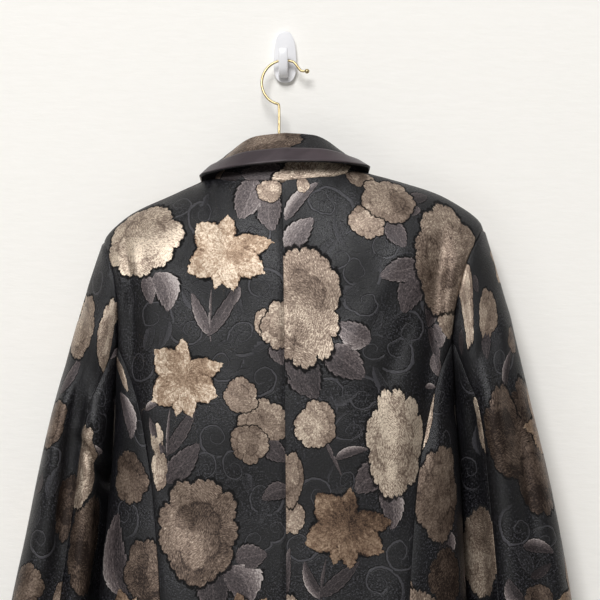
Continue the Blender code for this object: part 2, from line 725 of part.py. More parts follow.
for body_side in (LEFT, RIGHT):
    back_panel(body_side, brocade)
    side_panel(body_side, brocade)
    front_panel(body_side, brocade)
    sleeve_piece("upper_sleeve_", body_side, FORE_SEAM, ARMHOLE_TURNS + HIND_SEAM, brocade)
    sleeve_piece("under_sleeve_", body_side, HIND_SEAM, FORE_SEAM, brocade)
    lapel_piece("lapel_", body_side, LAPEL[0].z, LAPEL[-1].z, 0, brocade, CLOTH + LAPEL_GAP, CLOTH)
    lapel_piece("lapel_band_", body_side, LAPEL_BAND_FROM[body_side], LAPEL[-1].z - 0.5, LAPEL_BAND, satin,
                1.5 * CLOTH + 2 * LAPEL_GAP + SATIN / 2, SATIN)
collar_piece("collar_stand", STAND_LINES, brocade)
collar_piece("collar_fall", FALL_LINES, brocade)
collar_piece("collar_band", BAND_LINES, satin, -(CLOTH + SATIN) / 2 - LIE_GAP, SATIN)
front_button(satin)
hanger_bar(bar_plastic)
hanger_hook(gold_wire)
wall_hook(hook_plastic)
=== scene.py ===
"""Dresses the floral tuxedo jacket: brocade panels, collar, lapels, hanger and wall hook.

The tables are in millimetres from the middle of the wall hook's back face, as in the part:
X to the right of the view, Y into the wall, Z up. Each cloth piece repeats the part's own
surface on a finer grid, and carries its flat cut as a map for the woven pattern.
"""

import math
from collections import namedtuple

import bmesh
import bpy
import numpy as np
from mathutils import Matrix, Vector


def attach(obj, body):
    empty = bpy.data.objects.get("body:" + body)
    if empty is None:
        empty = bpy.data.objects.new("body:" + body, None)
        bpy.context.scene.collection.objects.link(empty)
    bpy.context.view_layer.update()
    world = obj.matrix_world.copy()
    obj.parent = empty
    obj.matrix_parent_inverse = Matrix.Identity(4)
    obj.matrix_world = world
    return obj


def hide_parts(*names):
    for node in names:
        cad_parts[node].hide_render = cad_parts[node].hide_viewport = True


MM = 0.001
LEFT, RIGHT = -1, 1
BACK, FRONT = -1, 1
SIDE_NAMES = {LEFT: "left", RIGHT: "right"}


def named_rows(kind, table):
    """Gives the rows of a table their column names; a table may hold a list of rows for each piece."""
    if isinstance(table, dict):
        return {key: named_rows(kind, rows) for key, rows in table.items()}
    return [kind(*row) for row in table]


# Cloth
CLOTH = 1.6
SATIN = 1.0
SEAM_GAP = 0.4
LIE_GAP = 0.4
LAPEL_GAP = 1.3

# Body of the jacket: its outline at each height, and how far it stands from the wall
BodyRow = namedtuple("BodyRow", "z left right side_y back_y front_y")
BODY = named_rows(BodyRow, [
    (-120, 216, 234, -46, -96, -22),
    (-200, 211, 226, -52, -108, -19),
    (-260, 199, 203, -57, -115, -17),
    (-311, 187, 187, -60, -120, -16),
    (-345, 182, 182, -61, -122, -16),
    (-372, 179.4, 179.4, -62, -123, -16),
    (-409, 181, 183, -63, -124, -15),
    (-479, 187, 187, -65, -123, -13),
    (-579, 197, 192, -67, -127, -12),
    (-690, 204, 199.5, -69, -133, -11),
    (-795, 211, 207, -71, -138, -11),
])
HEM_Z = -795
ROUND_BACK = 2.6
ROUND_FRONT = 3.5

# Neck seam and shoulder line
LineRow = namedtuple("LineRow", "x z")
TOP_LINE = named_rows(LineRow, {
    LEFT: [
        (0, -135), (40, -134.5), (78, -132.5), (92, -138), (119, -150), (161, -169), (183, -186), (192.5, -197),
    ],
    RIGHT: [
        (0, -135), (40, -131), (78, -124.5), (98, -129), (127, -137), (162, -148.5), (190, -164), (205, -175.5),
        (211, -183.5),
    ],
})
NECK_HALF = 78
RIDGE_Y = -42
NECK_DEPTH = 40
SHOULDER_TURN, SHOULDER_CURVE = 85, 2.0
NECK_TURN, NECK_CURVE = 115, 1.1
NECK_BLEND_OUT, NECK_BLEND = 14, 34

# Armhole, down to the underarm
EdgeRow = namedtuple("EdgeRow", "z x")
ARMHOLE = named_rows(EdgeRow, {
    LEFT: [
        (-197, 192.5), (-220, 185.5), (-234, 181.5), (-257, 178.5), (-287, 177), (-311, 177), (-345, 178.6),
        (-360, 179), (-372, 179.4),
    ],
    RIGHT: [
        (-183.5, 211), (-200, 202), (-217, 194), (-240, 187.5), (-262, 182.5), (-287, 178.5), (-311, 177),
        (-345, 178.6), (-360, 179), (-372, 179.4),
    ],
})
UNDERARM_Z = -372
UNDERARM_TURN, UNDERARM_BLEND, UNDERARM_RISE = 107, 17, 0.4
ARMHOLE_TURNS = 20
SEAM_TURN = 6

# Seams below the armhole, drawn in from the body's outline on the way to the hem
SeamRow = namedtuple("SeamRow", "share back front")
SEAMS = named_rows(SeamRow, [
    (0.00, 0.0, 0.0),
    (0.07, 14.0, 10.0),
    (0.19, 28.0, 20.0),
    (0.33, 38.0, 27.0),
    (0.56, 45.5, 33.0),
    (1.00, 53.0, 38.0),
])

# Centre back seam
CENTRE_BACK = named_rows(EdgeRow, [
    (-120, -4.0), (-290, -1.0), (-580, 1.6), (-795, 2.0),
])

# Front edge: roll line from the neck to the button, then the overlap
FRONT_EDGE = named_rows(EdgeRow, [
    (-122, 78), (-200, 56), (-300, 22), (-380, -8), (-430, -20), (-480, -22), (-795, -22),
])
OVERLAP_LIFT = 2.6
LAPEL_LIFT = 2.8
# Where the lift starts, from the middle and from above, and the way that it takes to grow
LIFT_X, LIFT_X_GROWTH = 72, 42
LIFT_Z, LIFT_Z_GROWTH = -250, 60
LAPEL_LIFT_TOP, LAPEL_LIFT_TOP_GROWTH = -330, 30
LAPEL_LIFT_LOW, LAPEL_LIFT_LOW_GROWTH = -470, 45

# Largest folds of the back: a line from top to bottom, its width and its depth, out is positive
FoldRow = namedtuple("FoldRow", "top_x top_z low_x low_z width depth")
FOLD_PAST, FOLD_FADE, FOLD_SIDE_FADE = 0.12, 0.3, 10
BACK_FOLDS = named_rows(FoldRow, [
    (166, -188, 145, -440, 10, -9.0),
    (182, -215, 171, -290, 9, 4.0),
    (-161, -240, -160, -400, 9, -8.0),
    (-145, -235, -143, -400, 13, 3.5),
    (60, -300, 75, -560, 42, 3.0),
    (-70, -330, -92, -640, 40, 3.0),
    (118, -520, 124, -795, 26, 4.0),
    (-112, -520, -118, -795, 26, 4.0),
    (0, -560, 0, -795, 30, -3.5),
])

# Sleeves: outer and inner outline at each height, and their depth
SleeveRow = namedtuple("SleeveRow", "z out_left in_left out_right in_right mid_y depth")
SLEEVE = named_rows(SleeveRow, [
    (-390, 248, 183.4, 263, 183.8, -58, 46),
    (-450, 261, 184.4, 278, 184.8, -58, 46),
    (-520, 275, 190.4, 292, 188.6, -58, 45),
    (-590, 290, 197.2, 304, 192.4, -58, 43),
    (-680, 306, 203.0, 314, 198.6, -58, 41),
    (-768, 316, 211.0, 322, 206.0, -58, 39),
])
SLEEVE_ROUND = 2.2
SLEEVE_SLANT = 0.22
SLEEVE_TUCK, TUCK_GROWTH = 30, 70
SLEEVE_TWIST = {LEFT: 16, RIGHT: 0}
HIND_SEAM = 6
FORE_SEAM = 14
ARM_CLEAR = 1.9
CAP_SWELL = 7

# Largest folds of the sleeves: their turn round the arm in degrees from the outer side
ArmFold = namedtuple("ArmFold", "top_turn top_z low_turn low_z width depth")
ARM_FOLD_PAST, ARM_FOLD_FADE = 0.05, 0.25
SLEEVE_FOLDS = named_rows(ArmFold, {
    LEFT: [(80, -330, 76, -640, 22, -10.0), (120, -330, 114, -640, 19, 6.0), (40, -300, 48, -480, 24, 3.0)],
    RIGHT: [
        (88, -240, 100, -650, 14, 8.0), (54, -250, 64, -620, 18, -6.0), (124, -360, 128, -620, 14, -5.0),
    ],
})

# Collar: neck seam, fold line and outer edge, by the angle round the neck from the back
CollarRow = namedtuple("CollarRow", "angle neck_x neck_y fold_x fold_y fold_z edge_x edge_y edge_z")
COLLAR = named_rows(CollarRow, [
    (0, 0, -82, 0, -68, -84, 0, -95, -115),
    (30, 39, -76.6, 31, -65, -87, 42, -90, -117),
    (60, 67.5, -62, 54, -54, -100, 74, -71, -121),
    (90, 74.5, -42, 66, -37, -112, 90, -42, -125.5),
    (115, 55, -31, 63, -20, -130, 86, -14, -142),
])
COLLAR_END = 112
COLLAR_RISE = 2.2
COLLAR_ROLL = 2.2
FOLD_TILT = 0.02
EDGE_TILT = 0.05
COLLAR_DROP = 0.5
COLLAR_HOLLOW, COLLAR_BELLY = 1.5, 2.0
COLLAR_KNOTS = [0.0, 0.45, 0.9, 1.0, 1.1, 1.5, 2.0]
# First and last line of each collar piece: 0 at the neck seam, 1 on the fold, 2 at the outer edge
STAND_RUN, FALL_RUN, BAND_RUN = (0.93, -0.07), (0.94, 2.0), (1.55, 2.0)

# Lapels: width at the height where each line leaves the roll line
LapelRow = namedtuple("LapelRow", "z width")
LAPEL = named_rows(LapelRow, [
    (-424, 5), (-390, 22), (-340, 42), (-285, 60), (-230, 75), (-182, 80),
])
LAPEL_DROP = 0.2
LAPEL_ROLL = 0.6
LAPEL_BAND = 13
LAPEL_BAND_FROM = {LEFT: -350, RIGHT: -390}

# Front button
BUTTON_Z = -452
BUTTON_HALF = 10
BUTTON_THICK = 4.4
BUTTON_RIM = 0.06

# Hanger
BAR_HALF = 5.0
BAR_REST = 2.2
BAR_MIDDLE_Z = -131
BAR_END = {LEFT: 166, RIGHT: 180}
BAR_SLOPE = 1.16
BAR_RISES = [(26, 0.12), (52, 0.75)]
BAR_STEPS, WIRE_STEPS, LOOP_STEPS = 90, 140, 18
WIRE_HALF = 1.4
WIRE_TOP_Y, WIRE_TOP_Z = -13, -4
WIRE_LEAN = 0.262
LOOP_X, LOOP_Z, LOOP_HALF = -0.5, -28.5, 24.5
LOOP_FROM, LOOP_TO = 232, 66
STEM_X = -6.4
STEM_TOP_Z = -56
TAIL = [(17.0, -15.2), (20.5, -15.8)]
BALL_HALF = 2.6

# Wall hook
PLATE_WIDE, PLATE_TALL, PLATE_THICK = 24, 55, 3.0
PLATE_OFF_WALL, PLATE_ROUND, PLATE_TAPER, PLATE_EDGE = 0.02, 0.72, 0.12, 0.8
PLATE_TURNS = 72
PRONG_X, PRONG_WIDE, PRONG_EDGE = -2, 10, 1.6
PRONG = [
    (-3.3, -23), (-11, -22.5), (-17, -18.5), (-20, -12), (-21.5, -2), (-22, 8), (-20.8, 9.5),
    (-19, 8.5), (-18, 0), (-16.2, -6), (-12.8, -7), (-9, -6.2), (-3.3, -5),
]


def smooth_column(rows, at, value):
    """A smooth line through one column of a table, read against another column."""
    ordered = sorted(rows, key=lambda row: getattr(row, at))
    xs = [getattr(row, at) for row in ordered]
    ys = [getattr(row, value) for row in ordered]
    rises = [(ys[i + 1] - ys[i]) / (xs[i + 1] - xs[i]) for i in range(len(xs) - 1)]
    slopes = [rises[0]]
    for before, after in zip(rises, rises[1:]):
        same_way = before * after > 0
        slopes.append(2 * before * after / (before + after) if same_way else 0.0)
    slopes.append(rises[-1])

    def value_at(x):
        if x <= xs[0]:
            return ys[0]
        if x >= xs[-1]:
            return ys[-1]
        i = max(k for k in range(len(xs) - 1) if xs[k] <= x)
        step = xs[i + 1] - xs[i]
        t = (x - xs[i]) / step
        keep = (1 + 2 * t) * (1 - t) ** 2
        return (keep * ys[i] + (1 - keep) * ys[i + 1]
                + step * t * (1 - t) * ((1 - t) * slopes[i] - t * slopes[i + 1]))

    return value_at


def mix(a, b, t):
    return a + (b - a) * t


def ease(t):
    t = min(max(t, 0.0), 1.0)
    return t * t * (3 - 2 * t)


half_width = {LEFT: smooth_column(BODY, "z", "left"), RIGHT: smooth_column(BODY, "z", "right")}
side_depth = smooth_column(BODY, "z", "side_y")
face_depth = {BACK: smooth_column(BODY, "z", "back_y"), FRONT: smooth_column(BODY, "z", "front_y")}
top_height = {side: smooth_column(TOP_LINE[side], "x", "z") for side in (LEFT, RIGHT)}
armhole_x = {side: smooth_column(ARMHOLE[side], "z", "x") for side in (LEFT, RIGHT)}
seam_pull = {BACK: smooth_column(SEAMS, "share", "back"), FRONT: smooth_column(SEAMS, "share", "front")}
centre_back_x = smooth_column(CENTRE_BACK, "z", "x")
front_edge_x = smooth_column(FRONT_EDGE, "z", "x")
lapel_width = smooth_column(LAPEL, "z", "width")
face_round = {BACK: ROUND_BACK, FRONT: ROUND_FRONT}


def fold_shift(x, z):
    """How far the folds move the back outward at one place."""
    shift = 0.0
    for row in BACK_FOLDS:
        t = (z - row.top_z) / (row.low_z - row.top_z)
        fades = ease((t + FOLD_PAST) / FOLD_FADE)
        if row.low_z > HEM_Z:
            fades *= ease((1 + FOLD_PAST - t) / FOLD_FADE)
        off = (x - mix(row.top_x, row.low_x, t)) / row.width
        shift += row.depth * fades * math.exp(-off * off)
    return shift


def front_lift(x, z):
    """How far the overlapping right front is raised over the left one."""
    lapel = ease((z - LAPEL_LIFT_LOW) / LAPEL_LIFT_LOW_GROWTH) * ease((LAPEL_LIFT_TOP - z) / LAPEL_LIFT_TOP_GROWTH)
    grown = ease((LIFT_X - x) / LIFT_X_GROWTH) * ease((LIFT_Z - z) / LIFT_Z_GROWTH)
    return grown * (OVERLAP_LIFT + LAPEL_LIFT * lapel)


def body_y(side, face, x, z):
    """Depth of the body's cloth at one place of its back or front, x from the middle."""
    share = min(abs(x) / half_width[side](z), 1.0)
    reach = (1 - share ** face_round[face]) ** (1 / face_round[face])
    ring = mix(side_depth(z), face_depth[face](z), reach)
    drop = max(top_height[side](abs(x)) - z, 0.0)
    neck = ease((NECK_HALF + NECK_BLEND_OUT - abs(x)) / NECK_BLEND) if face == BACK else 0.0
    t = min(drop / mix(SHOULDER_TURN, NECK_TURN, neck), 1.0)
    grown = (1 - (1 - t) ** 2) ** (1 / mix(SHOULDER_CURVE, NECK_CURVE, neck))
    top = RIDGE_Y + face * SEAM_GAP / 2
    if face == BACK and abs(x) < NECK_HALF:
        top -= NECK_DEPTH * math.sqrt(1 - (x / NECK_HALF) ** 2)
    y = mix(top, ring, grown)
    if face == BACK:
        return y - fold_shift(side * x, z) * grown * (1 - share ** FOLD_SIDE_FADE)
    if side == RIGHT:
        y += front_lift(x, z)
    return y


def body_point(side, face, x, z):
    return Vector((side * x, body_y(side, face, x, z), z))


def body_normal(side, face, x, z):
    """Outward direction of the body's cloth on its back or front."""
    z = min(z, top_height[side](abs(x)) - 0.06)
    step = 0.05
    along = body_point(side, face, x + step, z) - body_point(side, face, x - step, z)
    down = body_point(side, face, x, z - step) - body_point(side, face, x, z + step)
    normal = along.cross(down).normalized()
    return normal if normal.y * face > 0 or normal.z > 0.5 else -normal


def armhole_z(side, turn):
    top = TOP_LINE[side][-1].z
    return mix(top, UNDERARM_Z, (1 - math.cos(math.radians(turn))) / 2)


seam_start = {side: armhole_z(side, SEAM_TURN * 360 / ARMHOLE_TURNS) for side in (LEFT, RIGHT)}


def edge_x(side, face, z):
    start = seam_start[side]
    if z >= start - 1e-6:
        return armhole_x[side](z)
    share = (start - z) / (start - HEM_Z)
    return armhole_x[side](start) - seam_pull[face](share)


def ring_angle(side, face, x, z):
    """Angle round the body, 0 at the middle of the back and 180 at the middle of the front."""
    share = min(x / half_width[side](z), 1.0)
    angle = math.degrees(math.asin(share ** (face_round[face] / 2)))
    return angle if face == BACK else 180 - angle


def ring_point(side, angle, z):
    face = BACK if angle <= 90 else FRONT
    share = abs(math.sin(math.radians(angle))) ** (2 / face_round[face])
    return body_point(side, face, share * half_width[side](z), z)


def sleeve_columns(side):
    names = ("out_left", "in_left") if side == LEFT else ("out_right", "in_right")
    return [smooth_column(SLEEVE, "z", name) for name in (*names, "mid_y", "depth")]


sleeve_lines = {side: sleeve_columns(side) for side in (LEFT, RIGHT)}


def armhole_point(side, turn):
    z = armhole_z(side, turn)
    face = BACK if turn % 360 <= 180 else FRONT
    x = armhole_x[side](z)
    low = ease((UNDERARM_TURN - abs(turn % 360 - 180)) / UNDERARM_BLEND)
    x += mix(SEAM_GAP / 2, ARM_CLEAR, low)
    return Vector((side * x, body_y(side, face, min(x, half_width[side](z)), z), z + UNDERARM_RISE * low))


def sleeve_ring(side, turn, z):
    """A place on the sleeve below the armhole, turn counted from its outer side over the back."""
    outer, inner, mid_y, depth = sleeve_lines[side]
    angle = math.radians(turn - SLEEVE_TWIST[side])
    power = 2 / SLEEVE_ROUND
    across = math.copysign(abs(math.cos(angle)) ** power, math.cos(angle))
    behind = math.copysign(abs(math.sin(angle)) ** power, math.sin(angle))
    half = (outer(z) - inner(z)) / 2
    tuck = SLEEVE_TUCK * ease((UNDERARM_Z - z) / TUCK_GROWTH) * ((1 - across) / 2) ** 2 * ease(1 + behind)
    return Vector((side * (inner(z) + half + half * across), mid_y(z) - depth(z) * behind + tuck,
                   z + SLEEVE_SLANT * half * across))


def arm_fold_shift(side, turn, z):
    shift = 0.0
    local = (turn - SLEEVE_TWIST[side]) % 360
    for row in SLEEVE_FOLDS[side]:
        t = (z - row.top_z) / (row.low_z - row.top_z)
        fades = ease((t + ARM_FOLD_PAST) / ARM_FOLD_FADE) * ease((1 + ARM_FOLD_PAST - t) / ARM_FOLD_FADE)
        off = (local - mix(row.top_turn, row.low_turn, t)) / row.width
        shift += row.depth * fades * math.exp(-off * off)
    return shift


def sleeve_point(side, turn, down):
    """A place on the sleeve; down runs 0 to 1 over the cap and 1 to 2 on to the cuff."""
    top_z, cuff_z = SLEEVE[0].z, SLEEVE[-1].z
    if down <= 1:
        start = armhole_point(side, turn)
        point = start.lerp(sleeve_ring(side, turn, top_z), down)
        point.x += side * CAP_SWELL * math.sin(math.pi * down) * (1 + math.cos(math.radians(turn))) / 5
    else:
        point = sleeve_ring(side, turn, mix(top_z, cuff_z, down - 1))
    angle = math.radians(turn - SLEEVE_TWIST[side])
    outward = Vector((side * math.cos(angle), -math.sin(angle), 0))
    return point + outward * arm_fold_shift(side, turn, point.z) * min(1.0, 2.5 * down)


collar_lines = {
    name: smooth_column(COLLAR, "angle", name) for name in CollarRow._fields if name != "angle"
}


def spline(points, knots, at):
    """A place on a smooth line through points at set knots."""
    i = max(k for k in range(len(knots) - 1) if knots[k] <= max(at, knots[0]))
    step = knots[i + 1] - knots[i]
    t = (at - knots[i]) / step

    def slope(k):
        before, after = max(k - 1, 0), min(k + 1, len(knots) - 1)
        return (points[after] - points[before]) / (knots[after] - knots[before])

    keep_share = (1 + 2 * t) * (1 - t) ** 2
    return (points[i] * keep_share + points[i + 1] * (1 - keep_share)
            + (slope(i) * (1 - t) - slope(i + 1) * t) * (step * t * (1 - t)))


def collar_point(angle, line):
    """A place on the collar: line 0 at the neck seam, 1 on the fold, 2 at the outer edge."""
    side = RIGHT if angle >= 0 else LEFT
    value = {name: read(abs(angle)) for name, read in collar_lines.items()}
    neck_z = top_height[side](value["neck_x"]) + COLLAR_RISE
    if abs(angle) > 90:
        neck_z -= (abs(angle) - 90) * COLLAR_DROP
    neck = Vector((side * value["neck_x"], value["neck_y"], neck_z))
    fold = Vector((side * value["fold_x"], value["fold_y"], value["fold_z"]))
    fold.z += FOLD_TILT * fold.x
    edge = Vector((side * value["edge_x"], value["edge_y"], value["edge_z"]))
    edge.z += EDGE_TILT * edge.x
    outward = Vector((math.sin(math.radians(angle)), -math.cos(math.radians(angle)), 0))
    inside = fold - outward * COLLAR_ROLL - Vector((0, 0, COLLAR_ROLL))
    outside = fold + outward * COLLAR_ROLL - Vector((0, 0, COLLAR_ROLL * 0.9))
    middle = neck.lerp(inside, 0.5) - outward * COLLAR_HOLLOW
    belly = outside.lerp(edge, 0.45) + outward * COLLAR_BELLY
    return spline([neck, middle, inside, fold, outside, belly, edge], COLLAR_KNOTS, line)


def collar_normal(angle, line):
    around = collar_point(angle + 0.3, line) - collar_point(angle - 0.3, line)
    up = collar_point(angle, min(line + 0.01, 2.0)) - collar_point(angle, max(line - 0.01, 0.0))
    return around.cross(up).normalized()


def wire_place(x, z):
    """A place of the hook wire, which leans out from the wall on its way down."""
    return (x, WIRE_TOP_Y + WIRE_LEAN * (z - WIRE_TOP_Z), z)


# Small folds of the cloth, seen from behind: a line, its width and its depth, out is positive
CREASES = named_rows(FoldRow, [
    (-176, -205, -172, -236, 5, 2.2), (-169, -203, -164, -236, 5, -3.0), (-160, -212, -158, -238, 6, 2.0),
    (-20, -300, -60, -420, 22, 1.2), (117, -223, 69, -303, 13, 2.2), (143, -261, 106, -346, 11, -1.8),
    (-133, -245, -128, -308, 10, 1.8), (-100, -190, -122, -232, 9, -1.6), (128, -345, 118, -470, 12, 1.6),
    (-140, -420, -104, -500, 10, -1.6),
])
SLEEVE_CREASES = named_rows(FoldRow, [
    (-218, -335, -241, -575, 11, -8), (-204, -370, -217, -560, 9, 4), (-210, -418, -190, -452, 5, -5.0),
    (-214, -404, -192, -432, 6, 2.4), (-198, -473, -203, -569, 6, -3.0), (-240, -440, -252, -540, 8, 2.0),
    (207, -314, 197, -388, 7, -2.5), (232, -290, 226, -370, 8, 2.2), (250, -410, 262, -500, 7, -2.4),
    (-218, -262, -206, -330, 7, -2.4),
])

# Flowers, leaves and curls of the brocade, placed as they lie on each panel seen from behind
# Each flower's and leaf's tone is its lightness as seen from behind: partly its thread's own shade, partly painted
# shade, which darkens the motifs low on the side panels and on the outer side of the right sleeve.
Bloom = namedtuple("Bloom", "kind x z half_wide half_tall turn petals tone layer")
Leaf = namedtuple("Leaf", "x z half_long half_wide turn tone")
Curl = namedtuple("Curl", "x z half turn hand")
PEONY, MUM, LILY = 0.0, 0.5, 1.0
TOP, UNDER, CURLS_LAYER = 0, 1, 2
BLOOMS = named_rows(Bloom, {
    "back_left": [
        (PEONY, -153, -195, 50, 45, 20, 9, 0.97, TOP), (LILY, -64, -211, 45, 44, 0, 7, 0.97, TOP),
        (LILY, -109, -345, 41, 44, 4, 7, 0.95, TOP), (MUM, -47, -363, 19, 19, 0, 7, 0.72, TOP),
        (MUM, -24, -393, 27, 27, 30, 8, 0.68, UNDER), (MUM, -38, -414, 21, 21, 60, 7, 0.7, TOP),
        (MUM, -5, -288, 21, 26, 10, 8, 0.8, TOP), (MUM, -24, -285, 9, 15, 0, 6, 0.82, UNDER),
        (MUM, -136, -410, 9, 17, 0, 6, 1, UNDER), (MUM, -133, -441, 11, 23, 20, 7, 0.92, UNDER),
        (PEONY, -93, -507, 44, 61, 0, 9, 0.44, TOP), (MUM, -16, -145, 15, 13, 0, 7, 0.74, TOP),
    ],
    "back_right": [
        (PEONY, 19, -267, 44, 64, 0, 9, 0.75, TOP), (MUM, 111, -154, 30, 32, 0, 8, 0.66, TOP),
        (MUM, 87, -177, 21, 21, 40, 7, 0.78, UNDER), (MUM, 79, -132, 18, 16, 0, 7, 0.75, UNDER),
        (PEONY, 172, -216, 45, 62, -12, 9, 0.62, TOP), (MUM, 173, -279, 14, 23, 0, 7, 0.87, UNDER),
        (MUM, 33, -394, 23, 26, 0, 8, 0.86, TOP), (MUM, 5, -452, 16, 29, 0, 7, 0.66, TOP),
        (MUM, 6, -491, 15, 21, 40, 7, 0.72, UNDER), (PEONY, 119, -413, 36, 59, 0, 9, 1, TOP),
        (LILY, 64, -504, 45, 44, -4, 7, 0.52, TOP), (MUM, 19, -139, 7, 9, 0, 6, 0.87, TOP),
    ],
    "side_panel_left": [
        (MUM, -174, -337, 6, 23, 0, 7, 0.8, TOP), (MUM, -165, -450, 26, 28, 0, 9, 0.45, TOP),
        (PEONY, -147, -552, 26, 38, 0, 8, 0.22, TOP),
    ],
    "side_panel_right": [
        (MUM, 150, -391, 9, 30, 0, 7, 0.9, TOP), (MUM, 163, -467, 32, 53, 10, 9, 0.52, TOP),
        (PEONY, 171, -555, 23, 30, 0, 8, 0.07, TOP), (MUM, 128, -573, 10, 15, 0, 7, 0.45, UNDER),
    ],
    "upper_sleeve_left": [
        (PEONY, -214, -288, 36, 36, 0, 8, 0.72, TOP), (PEONY, -190, -297, 32, 40, 0, 8, 0.85, UNDER),
        (MUM, -247, -393, 17, 28, 0, 7, 0.52, TOP), (MUM, -232, -481, 15, 38, 0, 8, 0.06, TOP),
        (MUM, -277, -566, 21, 26, 0, 8, 0.37, TOP), (MUM, -236, -577, 11, 19, 0, 7, 0.62, UNDER),
    ],
    "under_sleeve_left": [
        (PEONY, -216, -439, 17, 47, 0, 8, 0.82, TOP), (PEONY, -210, -522, 26, 55, 0, 9, 0.18, UNDER),
    ],
    "upper_sleeve_right": [
        (MUM, 193, -257, 21, 51, 0, 8, 0.85, TOP), (MUM, 215, -277, 21, 27, 0, 8, 0.75, UNDER),
        (PEONY, 237, -405, 28, 53, 0, 8, 0.17, TOP), (PEONY, 263, -394, 32, 51, 0, 8, 0.08, UNDER),
        (MUM, 269, -450, 26, 43, 0, 9, 0.18, TOP), (MUM, 241, -303, 10, 15, 0, 7, 0.37, TOP),
        (MUM, 269, -580, 17, 17, 0, 7, 0.37, TOP),
    ],
    "under_sleeve_right": [
        (MUM, 215, -393, 13, 36, 0, 7, 0.9, TOP), (PEONY, 209, -529, 32, 49, 0, 9, 0.77, TOP),
    ],
    "collar_fall": [(PEONY, -29, -97, 45, 21, 0, 9, 0.52, TOP)],
    "collar_stand": [(PEONY, 31, -124, 43, 21, 0, 9, 0.92, TOP), (MUM, 56, -124, 17, 15, 0, 7, 0.9, UNDER)],
})
LEAVES = named_rows(Leaf, {
    "back_left": [
        (-127, -251, 22.3, 14.9, -72, 0.6), (-145, -250, 16, 8.5, -75, 0.5), (-90, -276, 25.5, 6.9, 113, 0.5),
        (-65, -272, 33, 6.9, 58, 0.45), (-79, -277, 28.7, 1.9, 88, 0.4), (-39, -154, 24.5, 17, 250, 0.62),
        (-16, -168, 21.3, 13.8, 270, 0.66), (-7, -317, 13.8, 8.5, 280, 0.55), (-137, -406, 22.3, 5.9, 115, 0.28),
        (-110, -401, 31.9, 7.4, 55, 0.26), (-124, -401, 26.6, 1.9, 85, 0.3), (-141, -373, 10.6, 4.3, 20, 0.5),
        (-109, -435, 28.7, 13.8, 45, 0.3), (-36, -534, 17, 13.8, 10, 0.34), (-45, -563, 23.4, 20.2, -60, 0.36),
        (-74, -573, 21.3, 17, -80, 0.24), (-10, -422, 16, 10.6, -45, 0.3), (-10, -466, 16, 9.6, 200, 0.4),
        (-54, -257, 13.8, 5.3, 250, 0.2),
    ],
    "back_right": [
        (15, -190, 23.4, 12.8, 52, 0.62), (16, -154, 28.7, 7.4, 50, 0.5), (24, -345, 23.4, 18.1, -75, 0.3),
        (10, -334, 17, 8.5, -80, 0.36), (73, -297, 20.2, 14.9, 150, 0.55), (65, -328, 25.5, 18.1, -35, 0.34),
        (119, -191, 17, 11.7, -60, 0.4), (143, -152, 11.7, 8.5, 30, 0.06), (137, -166, 8.5, 6.4, -100, 0.12),
        (123, -230, 24.5, 12.8, 195, 0.5), (134, -254, 23.4, 14.9, 240, 0.42), (155, -273, 18.1, 10.6, 260, 0.1),
        (51, -428, 22.3, 2.1, -65, 0.34), (71, -423, 19.1, 5.3, 15, 0.28), (91, -451, 22.3, 16, 215, 0.42),
        (113, -481, 24.5, 13.8, -80, 0.42), (28, -560, 22.3, 6.4, 115, 0.14), (59, -558, 28.7, 7.4, 42, 0.14),
        (40, -558, 23.4, 1.9, 80, 0.2), (164, -299, 13.8, 7.4, -70, 0.5), (162, -331, 14.9, 7.4, -60, 0.66),
        (155, -353, 8.5, 3.2, 0, 0.5), (2, -550, 25.5, 5.3, 85, 0.3), (159, -309, 23.4, 6.4, -70, 0.1),
    ],
    "side_panel_left": [
        (-167, -384, 25.5, 11.7, -80, 0.34), (-180, -533, 45.7, 20.2, 95, 0.2), (-153, -528, 10.6, 6.4, 20, 0.7),
    ],
    "side_panel_right": [(171, -521, 18.1, 12.8, -90, 0.06)],
    "upper_sleeve_left": [(-227, -341, 25.5, 6.4, 70, 0.3), (-261, -457, 12.8, 6.4, 70, 0.2)],
    "under_sleeve_left": [(-203, -422, 12.8, 6.4, 20, 0.6), (-185, -316, 14.9, 9.6, 235, 0.3)],
    "upper_sleeve_right": [
        (202, -244, 10.6, 7.4, -60, 0.1), (236, -335, 23.4, 5.3, 70, 0.06), (269, -524, 18.1, 7.4, -25, 0.12),
        (272, -550, 13.8, 5.3, 20, 0.06), (243, -572, 16, 8.5, 110, 0.06), (188, -306, 13.8, 10.6, -90, 0.12),
        (213, -309, 14.9, 10.6, -100, 0.2),
    ],
    "under_sleeve_right": [(217, -371, 13.8, 7.4, -80, 0.3), (232, -473, 19.1, 10.6, -80, 0.04)],
    "collar_stand": [(-26, -126, 22.3, 11.7, 180, 0.2), (-61, -131, 18.1, 7.4, 10, 0.08)],
})
